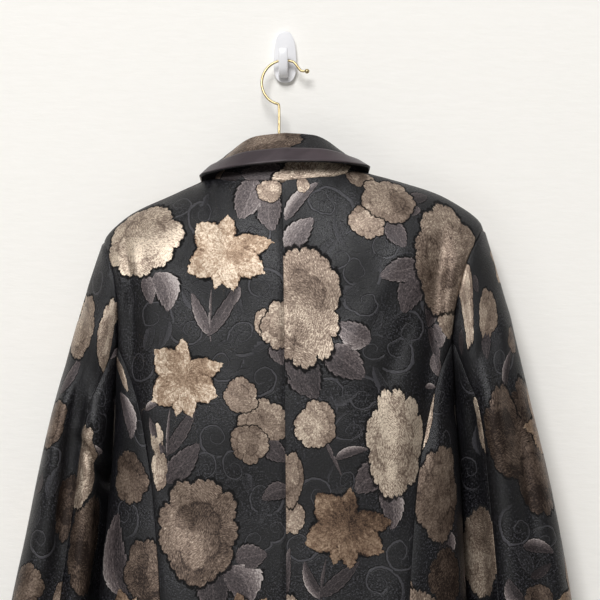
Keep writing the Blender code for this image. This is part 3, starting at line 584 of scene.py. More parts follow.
CURLS = named_rows(Curl, {
    "back_left": [
        (-45, -298, 22, 40, 1), (-141, -280, 21, 200, -1), (-24, -471, 20, 120, 1), (-53, -441, 18, 300, -1),
        (-24, -248, 21, 250, -1), (-87, -170, 18, 10, 1), (-24, -344, 21, 60, -1), (-32, -516, 19, 190, 1),
        (-154, -330, 20, 100, 1), (-74, -407, 17, 20, 1), (-101, -293, 17, 80, -1), (-67, -330, 18, 130, 1),
        (-10, -505, 17, 20, -1), (-85, -441, 16, 240, 1), (-112, -160, 17, 70, -1), (-32, -191, 15, 150, 1),
    ],
    "back_right": [
        (77, -231, 24, 120, 1), (43, -160, 21, 250, -1), (87, -264, 23, 10, -1), (82, -365, 21, 200, 1),
        (120, -316, 23, 80, -1), (35, -469, 18, 300, 1), (77, -195, 17, 30, 1), (44, -359, 19, 160, -1),
        (133, -293, 18, 220, 1), (64, -454, 18, 60, -1), (122, -529, 21, 140, 1), (149, -229, 16, 0, 1),
        (59, -216, 18, 300, -1), (104, -202, 15, 90, 1), (93, -314, 19, 180, 1), (71, -399, 18, 20, -1),
        (141, -521, 16, 60, 1), (101, -564, 19, 240, -1), (16, -521, 16, 100, 1), (154, -410, 15, 10, -1),
    ],
    "side_panel_left": [(-154, -399, 17, 60, 1), (-170, -489, 16, 200, -1)],
    "side_panel_right": [(170, -410, 16, 100, -1), (165, -367, 15, 20, 1)],
    "upper_sleeve_left": [
        (-239, -351, 18, 30, 1), (-255, -431, 18, 200, -1), (-261, -516, 18, 100, 1), (-197, -239, 16, 40, -1),
    ],
    "under_sleeve_left": [(-197, -367, 18, 60, 1), (-202, -394, 15, 220, -1)],
    "upper_sleeve_right": [(229, -324, 17, 120, 1), (250, -505, 19, 30, -1), (277, -516, 15, 200, 1)],
    "under_sleeve_right": [(202, -346, 17, 80, -1), (197, -441, 18, 10, 1)],
})
SHADOW_LEAVES = named_rows(Leaf, {
    "back_left": [
        (-85, -247, 14.9, 6.4, 160, 0), (-53, -262, 14.9, 6.4, -60, 0), (-128, -298, 17, 6.4, 250, 0),
        (-23, -486, 19.1, 6.4, 60, 0), (-85, -160, 17, 5.3, 80, 0), (-39, -457, 17, 6.4, -70, 0),
        (-24, -309, 16, 5.3, 30, 0), (-144, -298, 19.1, 6.4, 70, 0), (-61, -309, 14.9, 5.3, 190, 0),
        (-101, -261, 16, 6.4, 130, 0), (-43, -340, 16, 6.4, 20, 0), (-165, -261, 16, 6.4, 80, 0),
    ],
    "back_right": [
        (43, -210, 19.1, 7.4, 230, 0), (59, -188, 21.3, 7.4, 110, 0), (93, -287, 23.4, 9.6, 60, 0),
        (48, -367, 17, 6.4, 300, 0), (128, -309, 21.3, 7.4, 70, 0), (101, -346, 19.1, 6.4, 120, 0),
        (59, -463, 14.9, 5.3, 30, 0), (135, -441, 16, 6.4, 80, 0), (149, -261, 14.9, 5.3, 80, 0),
        (82, -309, 14.9, 6.4, 20, 0), (96, -223, 16, 6.4, 60, 0), (71, -250, 17, 7.4, 40, 0),
        (64, -367, 17, 6.4, 200, 0),
    ],
    "upper_sleeve_left": [(-245, -452, 19.1, 7.4, 80, 0), (-266, -495, 19.1, 7.4, 70, 0)],
    "under_sleeve_left": [(-199, -346, 17, 7.4, 70, 0)],
    "upper_sleeve_right": [(255, -537, 19.1, 7.4, 110, 0), (261, -324, 17, 6.4, 110, 0)],
    "under_sleeve_right": [(205, -410, 17, 7.4, 90, 0)],
})

# Repeat of the brocade on the pieces and places that the back view does not show
REPEAT_WIDE, REPEAT_TALL = 96, 92
REPEAT_STRAY = 8
REPEAT_REACH = 60
REPEAT_BLOOMS = named_rows(Bloom, [
    (PEONY, 0, 0, 40, 46, 10, 10, 0.72, TOP), (MUM, 0, 0, 24, 24, 0, 12, 0.7, TOP),
    (LILY, 0, 0, 40, 39, 93, 6, 0.7, TOP), (MUM, 0, 0, 21, 25, 40, 11, 0.62, TOP),
])
REPEAT_LEAVES = named_rows(Leaf, [
    (38, -34, 20, 12, -50, 0.4), (-36, 36, 19, 10, 140, 0.5), (-30, -40, 22, 6, 240, 0.35),
])
REPEAT_CURL = Curl(44, 30, 19, 60, 1)

# Petals of the lily, from the lowest to the topmost: direction, length, width, bend and shade
LilyPetal = namedtuple("LilyPetal", "turn long wide bend shade")
LILY_PETALS = named_rows(LilyPetal, [
    (255, 0.92, 0.21, 0.0, 0.12), (88, 1.0, 0.25, 0.05, 0.3), (203, 1.04, 0.4, -0.06, 0.1),
    (27, 1.14, 0.31, 0.3, 0.32), (134, 1.06, 0.4, 0.04, 0.08), (333, 1.08, 0.37, 0.04, 0.22),
    (279, 0.98, 0.27, -0.04, 0.02),
])

# View of the photograph
VIEW_X, VIEW_Z = 16, -261
VIEW_PLANE_Y = -60
VIEW_AWAY = 6000
VIEW_WIDE = 638.3
VIEW_MARGIN = 20
SENSOR = 36

# Fine form of the cloth
FINE = 3.6
ARMHOLE_FINE = 2.5
SEAM_ROLL = 1.1
SEAM_REACH = 2.6
SEAM_UNDER = 2.4
CREASE_END = 2.2
SLEEVE_HALF = 42
SOFT_FIRST, SOFT_LAST, SOFT_TIMES = 14, 64, 60

# Lines of the cloth grids
SIDE_COLUMNS = 34
UPPER_COLUMNS, UNDER_COLUMNS = 52, 30
CAP_ROWS, ARM_ROWS = 34, 104
COLLAR_COLUMNS, STAND_ROWS, FALL_ROWS, BAND_ROWS = 84, 14, 22, 9
LAPEL_ROWS, LAPEL_COLUMNS, LAPEL_BAND_COLUMNS = 64, 22, 6

# Places inside the pieces, from which their cloth faces outward
BODY_CORE_SHARE, BODY_CORE_Y, BODY_CORE_Z = 0.3, -65, -190
SLEEVE_CORE_Y = -58
COLLAR_CORE = (0, -38, -150)
LAPEL_CORE_DEPTH = 40

# A motif's own cloth, counted from its middle with 1 at its nominal edge, and a place outside every motif
MOTIF_REACH = 1.8
MOTIF_OUTSIDE = 3.0


def lay_grid(across, down, place):
    """Points of a cloth piece, row by row from its top edge, in millimetres."""
    return np.array([[place(c, r) for c in across] for r in down])


def spread(count, edge=0.012):
    """Shares from 0 to 1, with closer lines beside both edges for the seams."""
    return [0.0, edge * 0.4] + [mix(edge, 1 - edge, i / count) for i in range(count + 1)] + [1 - edge * 0.4, 1.0]


def run_lengths(points, axis):
    """Distance run along the rows (axis 1) or down the columns (axis 0) of a grid."""
    steps = np.linalg.norm(np.diff(points, axis=axis), axis=2)
    start = np.zeros_like(np.take(steps, [0], axis=axis))
    return np.concatenate([start, np.cumsum(steps, axis=axis)], axis=axis)


def grid_normals(points, core):
    """Directions out of the cloth, away from a line inside the piece."""
    normal = np.cross(np.gradient(points, axis=0), np.gradient(points, axis=1))
    normal /= np.maximum(np.linalg.norm(normal, axis=2, keepdims=True), 1e-9)
    outward = np.sum(normal * (points - core), axis=2)
    return normal if np.sum(outward) > 0 else -normal


def seam_roll(points, edges):
    """How far the cloth turns in beside its sewn edges."""
    across, down = run_lengths(points, 1), run_lengths(points, 0)
    off = {"first": across, "last": across[:, -1:] - across, "top": down, "bottom": down[-1:] - down}
    shift = np.zeros(points.shape[:2])
    for edge in edges:
        shift = shift - SEAM_ROLL * np.exp(-(off[edge] / SEAM_REACH) ** 2)
    return shift


def crease_shift(points, normals, rows):
    """Small folds of the cloth seen from behind: a line, its width and its depth."""
    shift = np.zeros(points.shape[:2])
    for row in rows:
        run = np.array((row.low_x - row.top_x, row.low_z - row.top_z), dtype=float)
        length = np.linalg.norm(run)
        dx, dz = points[..., 0] - row.top_x, points[..., 2] - row.top_z
        along = (dx * run[0] + dz * run[1]) / length
        off = (dx * run[1] - dz * run[0]) / length
        past = np.maximum(np.maximum(-along, along - length), 0)
        shift += row.depth * np.exp(-(off / row.width) ** 2 - (past / (CREASE_END * row.width)) ** 2)
    return shift * (normals[..., 1] < 0.1)


def seen_from_behind(points):
    """Where points appear in the photograph's view, on the plane of the back."""
    depth = VIEW_AWAY / (VIEW_AWAY + points[..., 1] - VIEW_PLANE_Y)
    return VIEW_X + (points[..., 0] - VIEW_X) * depth, VIEW_Z + (points[..., 2] - VIEW_Z) * depth


Motif = namedtuple("Motif", "u v half_u half_v turn leaf hand values")


def bloom_motif(row, u, v, seed):
    return Motif(u, v, row.half_wide, row.half_tall, row.turn, False, 1, (row.kind, row.petals, row.tone, seed))


def leaf_motif(row, u, v, seed):
    return Motif(u, v, row.half_long, row.half_wide, row.turn, True, 1, (0.0, 0.0, row.tone, seed))


def curl_motif(row, u, v, seed):
    return Motif(u, v, row.half, row.half, row.turn, False, row.hand, (1.0, 0.0, 0.0, seed))


def panel_motifs(name, points, normals, flat):
    """Every flower, leaf and curl on one piece, in the piece's own flat cloth."""
    seen_x, seen_z = seen_from_behind(points)
    facing = normals[..., 1] < -0.05
    layers = ([], [], [])
    marks = np.random.default_rng(len(name) * 131 + sum(map(ord, name)))

    def place(x, z):
        off = (seen_x - x) ** 2 + (seen_z - z) ** 2 + np.where(facing, 0, 1e6)
        spot = np.unravel_index(np.argmin(off), off.shape)
        return flat[spot][0] + x - seen_x[spot], flat[spot][1] + z - seen_z[spot]

    for table, make_motif, layer in ((BLOOMS, bloom_motif, None), (LEAVES, leaf_motif, UNDER),
                                     (CURLS, curl_motif, CURLS_LAYER), (SHADOW_LEAVES, leaf_motif, CURLS_LAYER)):
        for row in table.get(name, []):
            own_layer = row.layer if layer is None else layer
            layers[own_layer].append(make_motif(row, *place(row.x, row.z), marks.random()))

    half = VIEW_WIDE / 2
    shown = facing & (seen_z > VIEW_Z - half - VIEW_MARGIN) & (np.abs(seen_x - VIEW_X) < half)
    low, high = flat.reshape(-1, 2).min(axis=0), flat.reshape(-1, 2).max(axis=0)
    for j in range(-1, int((high[1] - low[1]) / REPEAT_TALL) + 2):
        for i in range(-1, int((high[0] - low[0]) / REPEAT_WIDE) + 2):
            u = low[0] + REPEAT_WIDE * (i + 0.5 * (j % 2)) + marks.uniform(-REPEAT_STRAY, REPEAT_STRAY)
            v = low[1] + REPEAT_TALL * j + marks.uniform(-REPEAT_STRAY, REPEAT_STRAY)
            bloom = REPEAT_BLOOMS[(i + 2 * j) % len(REPEAT_BLOOMS)]

            def hidden(du, dv):
                off = (flat[..., 0] - u - du) ** 2 + (flat[..., 1] - v - dv) ** 2
                spot = np.unravel_index(np.argmin(off), off.shape)
                return off[spot] < REPEAT_REACH ** 2 and not shown[spot]

            if hidden(0, 0):
                layers[TOP].append(bloom_motif(bloom, u, v, marks.random()))
            for leaf in REPEAT_LEAVES:
                if hidden(leaf.x, leaf.z):
                    layers[UNDER].append(leaf_motif(leaf, u + leaf.x, v + leaf.z, marks.random()))
            curl = REPEAT_CURL
            if hidden(curl.x, curl.z):
                layers[CURLS_LAYER].append(curl_motif(curl, u + curl.x, v + curl.z, marks.random()))
    return layers


def motif_place(motif, u, v):
    """Local place in a motif, 1 at its nominal edge."""
    turn = math.radians(motif.turn)
    du, dv = u - motif.u, v - motif.v
    if not motif.leaf:
        du, dv = du / motif.half_u, dv / motif.half_v
    x, y = du * math.cos(turn) + dv * math.sin(turn), dv * math.cos(turn) - du * math.sin(turn)
    if motif.leaf:
        x, y = x / motif.half_u, y / motif.half_v
    return x, y * motif.hand


def paint_layer(data, name, motifs, corner_flat):
    """Writes the nearest motif's place and values on every corner of a cloth mesh."""
    middle = corner_flat.mean(axis=1)
    nearest = np.full(len(middle), MOTIF_REACH)
    place = np.full((len(middle), 4, 2), MOTIF_OUTSIDE)
    values = np.zeros((len(middle), 4, 4))
    for motif in motifs:
        x, y = motif_place(motif, middle[:, 0], middle[:, 1])
        off = np.hypot(x, y)
        own = off < nearest
        nearest[own] = off[own]
        x, y = motif_place(motif, corner_flat[own, :, 0], corner_flat[own, :, 1])
        place[own] = np.stack([x, y], axis=2)
        values[own] = motif.values
    data.uv_layers.new(name=name).uv.foreach_set("vector", place.ravel())
    data.attributes.new(name + "_kind", "FLOAT_COLOR", "CORNER").data.foreach_set("color", values.ravel())


def mesh_object(name, piece, *finishes):
    """Makes a finished bmesh an object."""
    data = bpy.data.meshes.new(name)
    piece.to_mesh(data)
    piece.free()
    for finish in finishes:
        data.materials.append(finish)
    return bpy.data.objects.new(name, data)


def declare(made, node):
    """Puts a piece in the scene in place of its solid."""
    bpy.context.scene.collection.objects.link(made)
    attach(made, "root")
    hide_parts(node)
    return made


def cloth_mesh(name, points, normals, flat, finish, lining, thickness, motifs=None):
    """A cloth piece: a grid moved onto its surface, with its own flat map and a real thickness."""
    rows, columns = points.shape[0] - 1, points.shape[1] - 1
    piece = bmesh.new()
    bmesh.ops.create_grid(piece, x_segments=columns, y_segments=rows, size=0.5)
    spots = np.array([(round((0.5 - v.co.y) * rows), round((v.co.x + 0.5) * columns)) for v in piece.verts])
    for vert, (row, column) in zip(piece.verts, spots):
        vert.co = points[row, column] * MM
    piece.normal_update()
    facing = sum(face.normal.dot(Vector(normals[tuple(spots[face.verts[0].index])])) for face in piece.faces)
    if facing < 0:
        bmesh.ops.reverse_faces(piece, faces=piece.faces[:])
    for face in piece.faces:
        face.smooth = True
    made = mesh_object(name, piece, finish, lining)
    data = made.data
    corners = np.empty(len(data.loops), dtype=np.int32)
    data.loops.foreach_get("vertex_index", corners)
    corner_spots = spots[corners].reshape(-1, 4, 2)
    corner_flat = flat[corner_spots[..., 0], corner_spots[..., 1]]
    data.uv_layers.new(name="flat").uv.foreach_set("vector", (corner_flat * MM).ravel())
    if motifs:
        for layer, layer_name in zip(motifs, ("top", "under", "curl")):
            paint_layer(data, layer_name, layer, corner_flat)
    wall = made.modifiers.new("wall", "SOLIDIFY")
    wall.thickness = thickness * MM
    wall.offset = 0
    wall.material_offset = 1
    wall.use_quality_normals = True
    return made


def cloth_area(points):
    """Area of a grid in square metres, and its length each way in metres."""
    one = np.cross(points[1:, :-1] - points[:-1, :-1], points[:-1, 1:] - points[:-1, :-1])
    two = np.cross(points[:-1, 1:] - points[1:, 1:], points[1:, :-1] - points[1:, 1:])
    area = (np.linalg.norm(one, axis=2).sum() + np.linalg.norm(two, axis=2).sum()) / 2
    wide = run_lengths(points, 1)[:, -1].max()
    tall = run_lengths(points, 0)[-1].max()
    return area * MM * MM, wide * MM, tall * MM


def declare_cloth(made, node, points):
    area, wide, tall = cloth_area(points)
    declare(made, node)


def cloth_piece(node, points, core, flat_start, flat_sign, seams, slot="brocade", thickness=CLOTH,
                creases=(), patterned=True, turn_in=None):
    """Makes and declares one cloth piece from its middle surface."""
    normals = grid_normals(points, core)
    shift = seam_roll(points, seams)
    if creases:
        shift = shift + crease_shift(points, normals, creases)
    points = points + normals * shift[..., None]
    if turn_in:
        points, normals = turn_in(points, normals)
    across, down = run_lengths(points, 1), run_lengths(points, 0)
    flat = np.stack([flat_start + flat_sign * across, (down[-1:] - down) + points[-1:, :, 2].min()], axis=2)
    motifs = panel_motifs(node, points, normals, flat) if patterned else None
    finish = brocade if slot == "brocade" else satin
    made = cloth_mesh(node + "_cloth", points, normals, flat, finish, lining, thickness, motifs)
    declare_cloth(made, node, points)


def body_core(points):
    """A line inside the body beside each point of its cloth."""
    core = points.copy()
    core[..., 0] *= BODY_CORE_SHARE
    core[..., 1] = BODY_CORE_Y
    core[..., 2] = np.minimum(points[..., 2], BODY_CORE_Z)
    return core


def edge_heights(side):
    """Heights down a panel's side edge: round the armhole, then down the seam."""
    turns = np.arange(0, SEAM_TURN * 360 / ARMHOLE_TURNS + 0.01, ARMHOLE_FINE)
    armhole = [armhole_z(side, turn) for turn in turns]
    start = seam_start[side]
    if armhole[-1] - start > 0.5:
        armhole.append(start)
    count = round((start - HEM_Z) / FINE)
    return armhole + [mix(start, HEM_Z, i / count) for i in range(1, count + 1)]


def back_place(side, station, edge_z):
    tip = TOP_LINE[side][-1]
    run = (edge_z - tip.z) / (HEM_Z - tip.z)
    z = mix(top_height[side](station), HEM_Z, run)
    middle_z = mix(top_height[side](0), HEM_Z, run)
    inner_x = side * centre_back_x(middle_z) + SEAM_GAP / 2
    x = mix(inner_x, edge_x(side, BACK, edge_z) - SEAM_GAP / 2, station / tip.x)
    return body_point(side, BACK, x, z)


def front_place(side, station, edge_z):
    tip = TOP_LINE[side][-1]
    run = (edge_z - tip.z) / (HEM_Z - tip.z)
    share = (station - NECK_HALF) / (tip.x - NECK_HALF)
    inner_z = mix(top_height[side](NECK_HALF), HEM_Z, run)
    x = mix(front_edge_x(inner_z), edge_x(side, FRONT, edge_z) - SEAM_GAP / 2, share)
    return body_point(side, FRONT, x, mix(top_height[side](station), HEM_Z, run))


# Seam cloth of the backs, turned in: Y and Z at the neck and shoulder, X and Y at the centre
NECK_TURN_IN, SHOULDER_TURN_IN, CENTRE_TURN_IN = (2, -1), (2, -3), (6, 2.6)


def body_panels(side):
    name = SIDE_NAMES[side]
    tip_x = TOP_LINE[side][-1].x
    heights = edge_heights(side)
    stations = [share * tip_x for share in spread(round(tip_x / FINE))]
    points = lay_grid(stations, heights, lambda s, z: back_place(side, s, z))

    def turn_in(points, normals):
        """Seam cloth under the front at the shoulder and, on the left, under the right back."""
        top = points[0] + (0, *NECK_TURN_IN)
        for column, station in enumerate(stations):
            if station >= NECK_HALF:
                top[column] = np.array(front_place(side, station, heights[0])) + (0, *SHOULDER_TURN_IN)
        points, normals = np.concatenate([top[None], points]), np.concatenate([normals[:1], normals])
        if side == LEFT:
            inner = points[:, :1] + (-side * CENTRE_TURN_IN[0], CENTRE_TURN_IN[1], 0)
            points = np.concatenate([inner, points], axis=1)
            normals = np.concatenate([normals[:, :1], normals], axis=1)
        return points, normals

    cloth_piece("back_" + name, points, body_core(points), 0, side, ("first", "last"),
                creases=CREASES, turn_in=turn_in)
    stations = [mix(NECK_HALF, tip_x, share) for share in spread(round((tip_x - NECK_HALF) / FINE * 1.5))]
    points = lay_grid(stations, heights, lambda s, z: front_place(side, s, z))
    cloth_piece("front_" + name, points, body_core(points), 0, -side, ("last",))


def side_cloth(side):
    first_turn = SEAM_TURN * 360 / ARMHOLE_TURNS
    last_turn = 360 - first_turn

    def top_angle(turn):
        z = armhole_z(side, turn)
        return ring_angle(side, BACK if turn <= 180 else FRONT, armhole_x[side](z), z)

    first_angle, last_angle = top_angle(first_turn), top_angle(last_turn)

    def place(share, down):
        turn = mix(first_turn, last_turn, share)
        angle_share = (top_angle(turn) - first_angle) / (last_angle - first_angle)
        back_z = mix(seam_start[side], HEM_Z, down)
        z = mix(armhole_z(side, turn), HEM_Z, down)
        ends = [edge_x(side, face, back_z) + SEAM_GAP / 2 for face in (BACK, FRONT)]
        if share == 0:
            return body_point(side, BACK, ends[0], z)
        if share == 1:
            return body_point(side, FRONT, ends[1], z)
        angle = mix(ring_angle(side, BACK, ends[0], back_z), ring_angle(side, FRONT, ends[1], back_z), angle_share)
        return ring_point(side, angle, z)

    rows = round((seam_start[side] - HEM_Z) / FINE)
    points = lay_grid(spread(SIDE_COLUMNS, 0.01), [i / rows for i in range(rows + 1)], place)
    cloth_piece("side_panel_" + SIDE_NAMES[side], points, body_core(points), 0, side, ("first", "last"))


def soften_rows(points, first, last, times):
    """Evens out the run down a grid between two rows, without moving its ends."""
    for _ in range(times):
        points[first:last] = (points[first - 1:last - 1] + 2 * points[first:last] + points[first + 1:last + 1]) / 4


def sleeve_cloth(node, side, first, last, columns, flat_from_last):
    seam_turn = math.degrees(SEAM_GAP / 2 / SLEEVE_HALF)
    turns = [mix(first + seam_turn, last - seam_turn, share) for share in spread(columns)]
    downs = [i / CAP_ROWS for i in range(CAP_ROWS)] + [1 + i / ARM_ROWS for i in range(ARM_ROWS + 1)]
    points = lay_grid(turns, downs, lambda turn, down: sleeve_point(side, turn, down))
    soften_rows(points, SOFT_FIRST, SOFT_LAST, SOFT_TIMES)
    points[0] += (-side * SEAM_UNDER, SEAM_UNDER * 0.5, 0)
    outer, inner, _, _ = sleeve_lines[side]
    core = points.copy()
    core[..., 0] = np.array([[side * (outer(z) + inner(z)) / 2 for z in row] for row in points[..., 2]])
    core[..., 1] = SLEEVE_CORE_Y
    flat_start = side * run_lengths(points, 1)[:, -1].mean() if flat_from_last else 0
    cloth_piece(node + SIDE_NAMES[side], points, core, flat_start, -side, ("first", "last", "top"),
                creases=SLEEVE_CREASES)


def collar_cloth():
    """Stand and fall of the collar in brocade, and the satin band on the fall's edge."""
    turns = [mix(-COLLAR_END, COLLAR_END, share) for share in spread(COLLAR_COLUMNS, 0.006)]
    core = np.array(COLLAR_CORE, dtype=float)

    def even_lines(run, count):
        return [mix(*run, i / count) for i in range(count + 1)]

    def band_place(turn, line):
        return collar_point(turn, line) - collar_normal(turn, line) * ((CLOTH + SATIN) / 2 + LIE_GAP)

    for node, run, count, seams, rests_on in (
            ("collar_stand", STAND_RUN, STAND_ROWS, ("bottom",), ["back_left_cloth", "back_right_cloth"]),
            ("collar_fall", FALL_RUN, FALL_ROWS, (), ["collar_stand_cloth"])):
        points = lay_grid(turns, even_lines(run, count), collar_point)
        half = run_lengths(points, 1)[:, -1].mean() / 2
        cloth_piece(node, points, core, -half, 1, seams)
    points = lay_grid(turns, even_lines(BAND_RUN, BAND_ROWS), band_place)
    cloth_piece("collar_band", points, core, 0, 1, (), "satin", SATIN, patterned=False)


def lapel_cloth(node, side, from_z, to_z, inner_width, lift, slot, thickness):
    """A lapel from the roll line outward or, with an inner width, only a band along its edge."""
    def place(share, down):
        z = mix(to_z, from_z, down)
        width = lapel_width(z)
        out = mix(max(width - inner_width, 0) if inner_width else LAPEL_ROLL, width, share)
        x, low = front_edge_x(z) + out, z - LAPEL_DROP * out
        return body_point(side, FRONT, x, low) + body_normal(side, FRONT, x, low) * lift

    columns = LAPEL_BAND_COLUMNS if inner_width else LAPEL_COLUMNS
    points = lay_grid([i / columns for i in range(columns + 1)], [i / LAPEL_ROWS for i in range(LAPEL_ROWS + 1)], place)
    core = points.copy()
    core[..., 1] -= LAPEL_CORE_DEPTH
    cloth_piece(node + SIDE_NAMES[side], points, core, 0, -side, (), slot,
                thickness, patterned=slot == "brocade")


# ---------------------------------------------------------------- materials
class Value:
    """A value in a shader tree; arithmetic with it adds math nodes to that tree."""

    def __init__(self, nodes, socket):
        self.nodes, self.socket = nodes, socket

    def __add__(self, other):
        return self.nodes.math("ADD", self, other)

    def __sub__(self, other):
        return self.nodes.math("SUBTRACT", self, other)

    def __rsub__(self, other):
        return self.nodes.math("SUBTRACT", other, self)

    def __mul__(self, other):
        return self.nodes.math("MULTIPLY", self, other)

    def __truediv__(self, other):
        return self.nodes.math("DIVIDE", self, other)

    def __rtruediv__(self, other):
        return self.nodes.math("DIVIDE", other, self)

    __radd__, __rmul__ = __add__, __mul__


class Nodes:
    """Adds shader nodes to one tree; an input is given a value of that tree or a plain number."""

    def __init__(self, tree):
        self.tree = tree

    def link(self, value, target):
        if isinstance(value, Value):
            self.tree.links.new(value.socket, target)
        else:
            target.default_value = value

    def add(self, kind, inputs=(), **settings):
        node = self.tree.nodes.new(kind)
        for name, value in settings.items():
            setattr(node, name, value)
        for key, value in dict(inputs).items():
            self.link(value, node.inputs[key])
        return node

    def value(self, kind, inputs=(), output=0, **settings):
        return Value(self, self.add(kind, inputs, **settings).outputs[output])

    def group(self, tree, **inputs):
        """Places a node group and gives its outputs by name."""
        node = self.add("ShaderNodeGroup", inputs, node_tree=tree)
        return {socket.name: Value(self, socket) for socket in node.outputs}

    def flat_map(self, name="flat"):
        return self.value("ShaderNodeUVMap", uv_map=name)

    def math(self, operation, *values, clamp=False):
        return self.value("ShaderNodeMath", enumerate(values), operation=operation, use_clamp=clamp)

    def vector(self, operation, a, b):
        second = "Scale" if operation == "SCALE" else 1
        return self.value("ShaderNodeVectorMath", {0: a, second: b}, operation=operation)

    def step(self, value, low, high):
        """Rises smoothly from 0 at low to 1 at high."""
        return self.value("ShaderNodeMapRange", {0: value, 1: low, 2: high}, interpolation_type="SMOOTHSTEP")

    def fall(self, value, low, high):
        """Falls smoothly from 1 at low to 0 at high."""
        return 1.0 - self.step(value, low, high)

    def blend(self, share, a, b):
        return self.value("ShaderNodeMix", {0: share, 2: a, 3: b}, data_type="FLOAT")

    def colour(self, share, a, b):
        return self.value("ShaderNodeMix", {0: share, 6: a, 7: b}, 2, data_type="RGBA")

    def noise(self, place, scale, detail=2.0, rough=0.5, flat=False, output=0):
        inputs = {"Vector": place, "Scale": scale, "Detail": detail, "Roughness": rough}
        return self.value("ShaderNodeTexNoise", inputs, output, noise_dimensions="2D" if flat else "3D")

    def total(self, start, *parts):
        """Sum of a plain number and of values, each given with its share."""
        for part, share in parts:
            start = self.math("MULTIPLY_ADD", part, share, start)
        return start

    def split(self, place):
        return [Value(self, socket) for socket in self.add("ShaderNodeSeparateXYZ", {0: place}).outputs]

    def join(self, x, y, z=0.0):
        return self.value("ShaderNodeCombineXYZ", {0: x, 1: y, 2: z})

    def reach(self, x, y):
        """Distance from the middle of a motif."""
        return self.math("SQRT", x * x + y * y)


VECTOR_INPUTS = ("Place", "Flat", "Fray")
FLOWER_OUTPUTS = "Mask Outline Streak Shade"
FULL_TURN = 2 * math.pi


def node_group(name, inputs, outputs):
    """A shader node group with named sockets: its tree, its nodes, its inputs and a way to set its outputs."""
    tree = bpy.data.node_groups.new(name, "ShaderNodeTree")
    for label in inputs.split():
        kind = "NodeSocketVector" if label in VECTOR_INPUTS else "NodeSocketFloat"
        tree.interface.new_socket(label, in_out="INPUT", socket_type=kind)
    for label in outputs.split():
        tree.interface.new_socket(label, in_out="OUTPUT", socket_type="NodeSocketFloat")
    n = Nodes(tree)
    given = {socket.name: Value(n, socket) for socket in tree.nodes.new("NodeGroupInput").outputs}
    sink = tree.nodes.new("NodeGroupOutput").inputs

    def give(label, value):
        n.link(value, sink[label])

    return tree, n, given, give


def frayed_place(n, given, amount):
    """Place in a motif, moved a little so that its outline frays."""
    x, y, _ = n.split(n.vector("ADD", given["Place"], n.vector("SCALE", given["Fray"], amount)))
    return x, y


def ray_streaks(n, x, y, reach, depth, scale, rough):
    """Streaks that run out from the middle of a flower."""
    away = 2.4 / n.math("MAXIMUM", reach, 0.05)
    return n.noise(n.join(x * away, y * away, depth), scale, 2.0, rough)


def give_outline(n, give, inside, outer):
    """The mask of a motif, and the dark line round it."""
    give("Mask", inside)
    give("Outline", n.math("SUBTRACT", outer, inside, clamp=True))


def make_bloom_group():
    """A woven flower: two rings of rounded petals in a circle of its own."""
    tree, n, given, give = node_group("brocade_bloom", "Place Flat Fray Kind Petals Seed Cloud", FLOWER_OUTPUTS)
    seed, petals, cloud = given["Seed"], given["Petals"], given["Cloud"]
    x, y = frayed_place(n, given, 0.1)
    reach = n.reach(x, y)
    angle = n.math("ARCTAN2", y, x)

    def wave(times, shift, size):
        return n.math("SINE", angle * times + seed * shift) * size

    uneven = wave(2.0, 41.0, 0.04) + (wave(3.0, 67.0, 0.04) + wave(5.0, 113.0, 0.03))
    turn = angle + wave(2.0, 29.0, 0.17)

    def petal_ring(count, shift):
        """Off is 0 on a petal's middle line and 1 between petals; luck is a chance value of each petal."""
        at = turn * (count / FULL_TURN) + (20.0 + seed * shift)
        off = n.math("ABSOLUTE", n.math("FRACT", at) * 2.0 - 1.0)
        number = n.math("MODULO", n.math("FLOOR", at), count)
        luck = n.math("MULTIPLY_ADD", n.math("SINE", number * 5.3 + seed * 61.0), 0.5, 0.5)
        dip = 1.0 - n.math("SQRT", n.math("SUBTRACT", 1.0, off * off, clamp=True))
        return off, luck, dip

    off, luck, dip = petal_ring(petals, 7.0)
    _, _, fine_dip = petal_ring(petals * 3.0, 3.0)
    share = reach / n.total(0.98, (dip * (luck + 0.4), -0.14), (fine_dip, -0.07), (luck, 0.05), (uneven, 1.0))
    give_outline(n, give, n.fall(share, 0.975, 1.0), n.fall(share, 1.035, 1.075))

    inner_off, inner_luck, inner_dip = petal_ring(n.math("ROUND", petals * 0.62), 11.0)
    inner_share = reach / n.total(0.56, (inner_dip, -0.14), (inner_luck, 0.12), (uneven, 0.6))
    in_inner = n.fall(inner_share, 0.98, 1.02)
    rim = n.fall(n.math("ABSOLUTE", inner_share - 1.0), 0.02, 0.08)
    own_off, own_luck = n.blend(in_inner, off, inner_off), n.blend(in_inner, luck, inner_luck)
    cleft = n.step(own_off, 0.88, 0.99) * n.step(reach, 0.2, 0.4)
    lines = n.math("MAXIMUM", cleft * 0.8, rim) * n.step(cloud, 0.36, 0.56)
    give("Shade", n.total(0.05, (lines, 0.4), (n.step(cloud, 0.42, 0.66), 0.4), (own_luck, -0.42)))

    lay = (own_luck + seed) * FULL_TURN
    u, v, _ = n.split(given["Flat"])
    cosine, sine = n.math("COSINE", lay), n.math("SINE", lay)
    along, across = u * cosine + v * sine, v * cosine - u * sine
    fibre = n.noise(n.join(along * 230.0, across * 980.0), 1.0, 1.5, 0.65, True)
    rays = ray_streaks(n, x, y, reach, reach * 1.6 + seed, 3.4, 0.65)
    give("Streak", n.blend(n.step(given["Kind"], 0.05, 0.45) * 0.65, fibre, rays))
    return tree


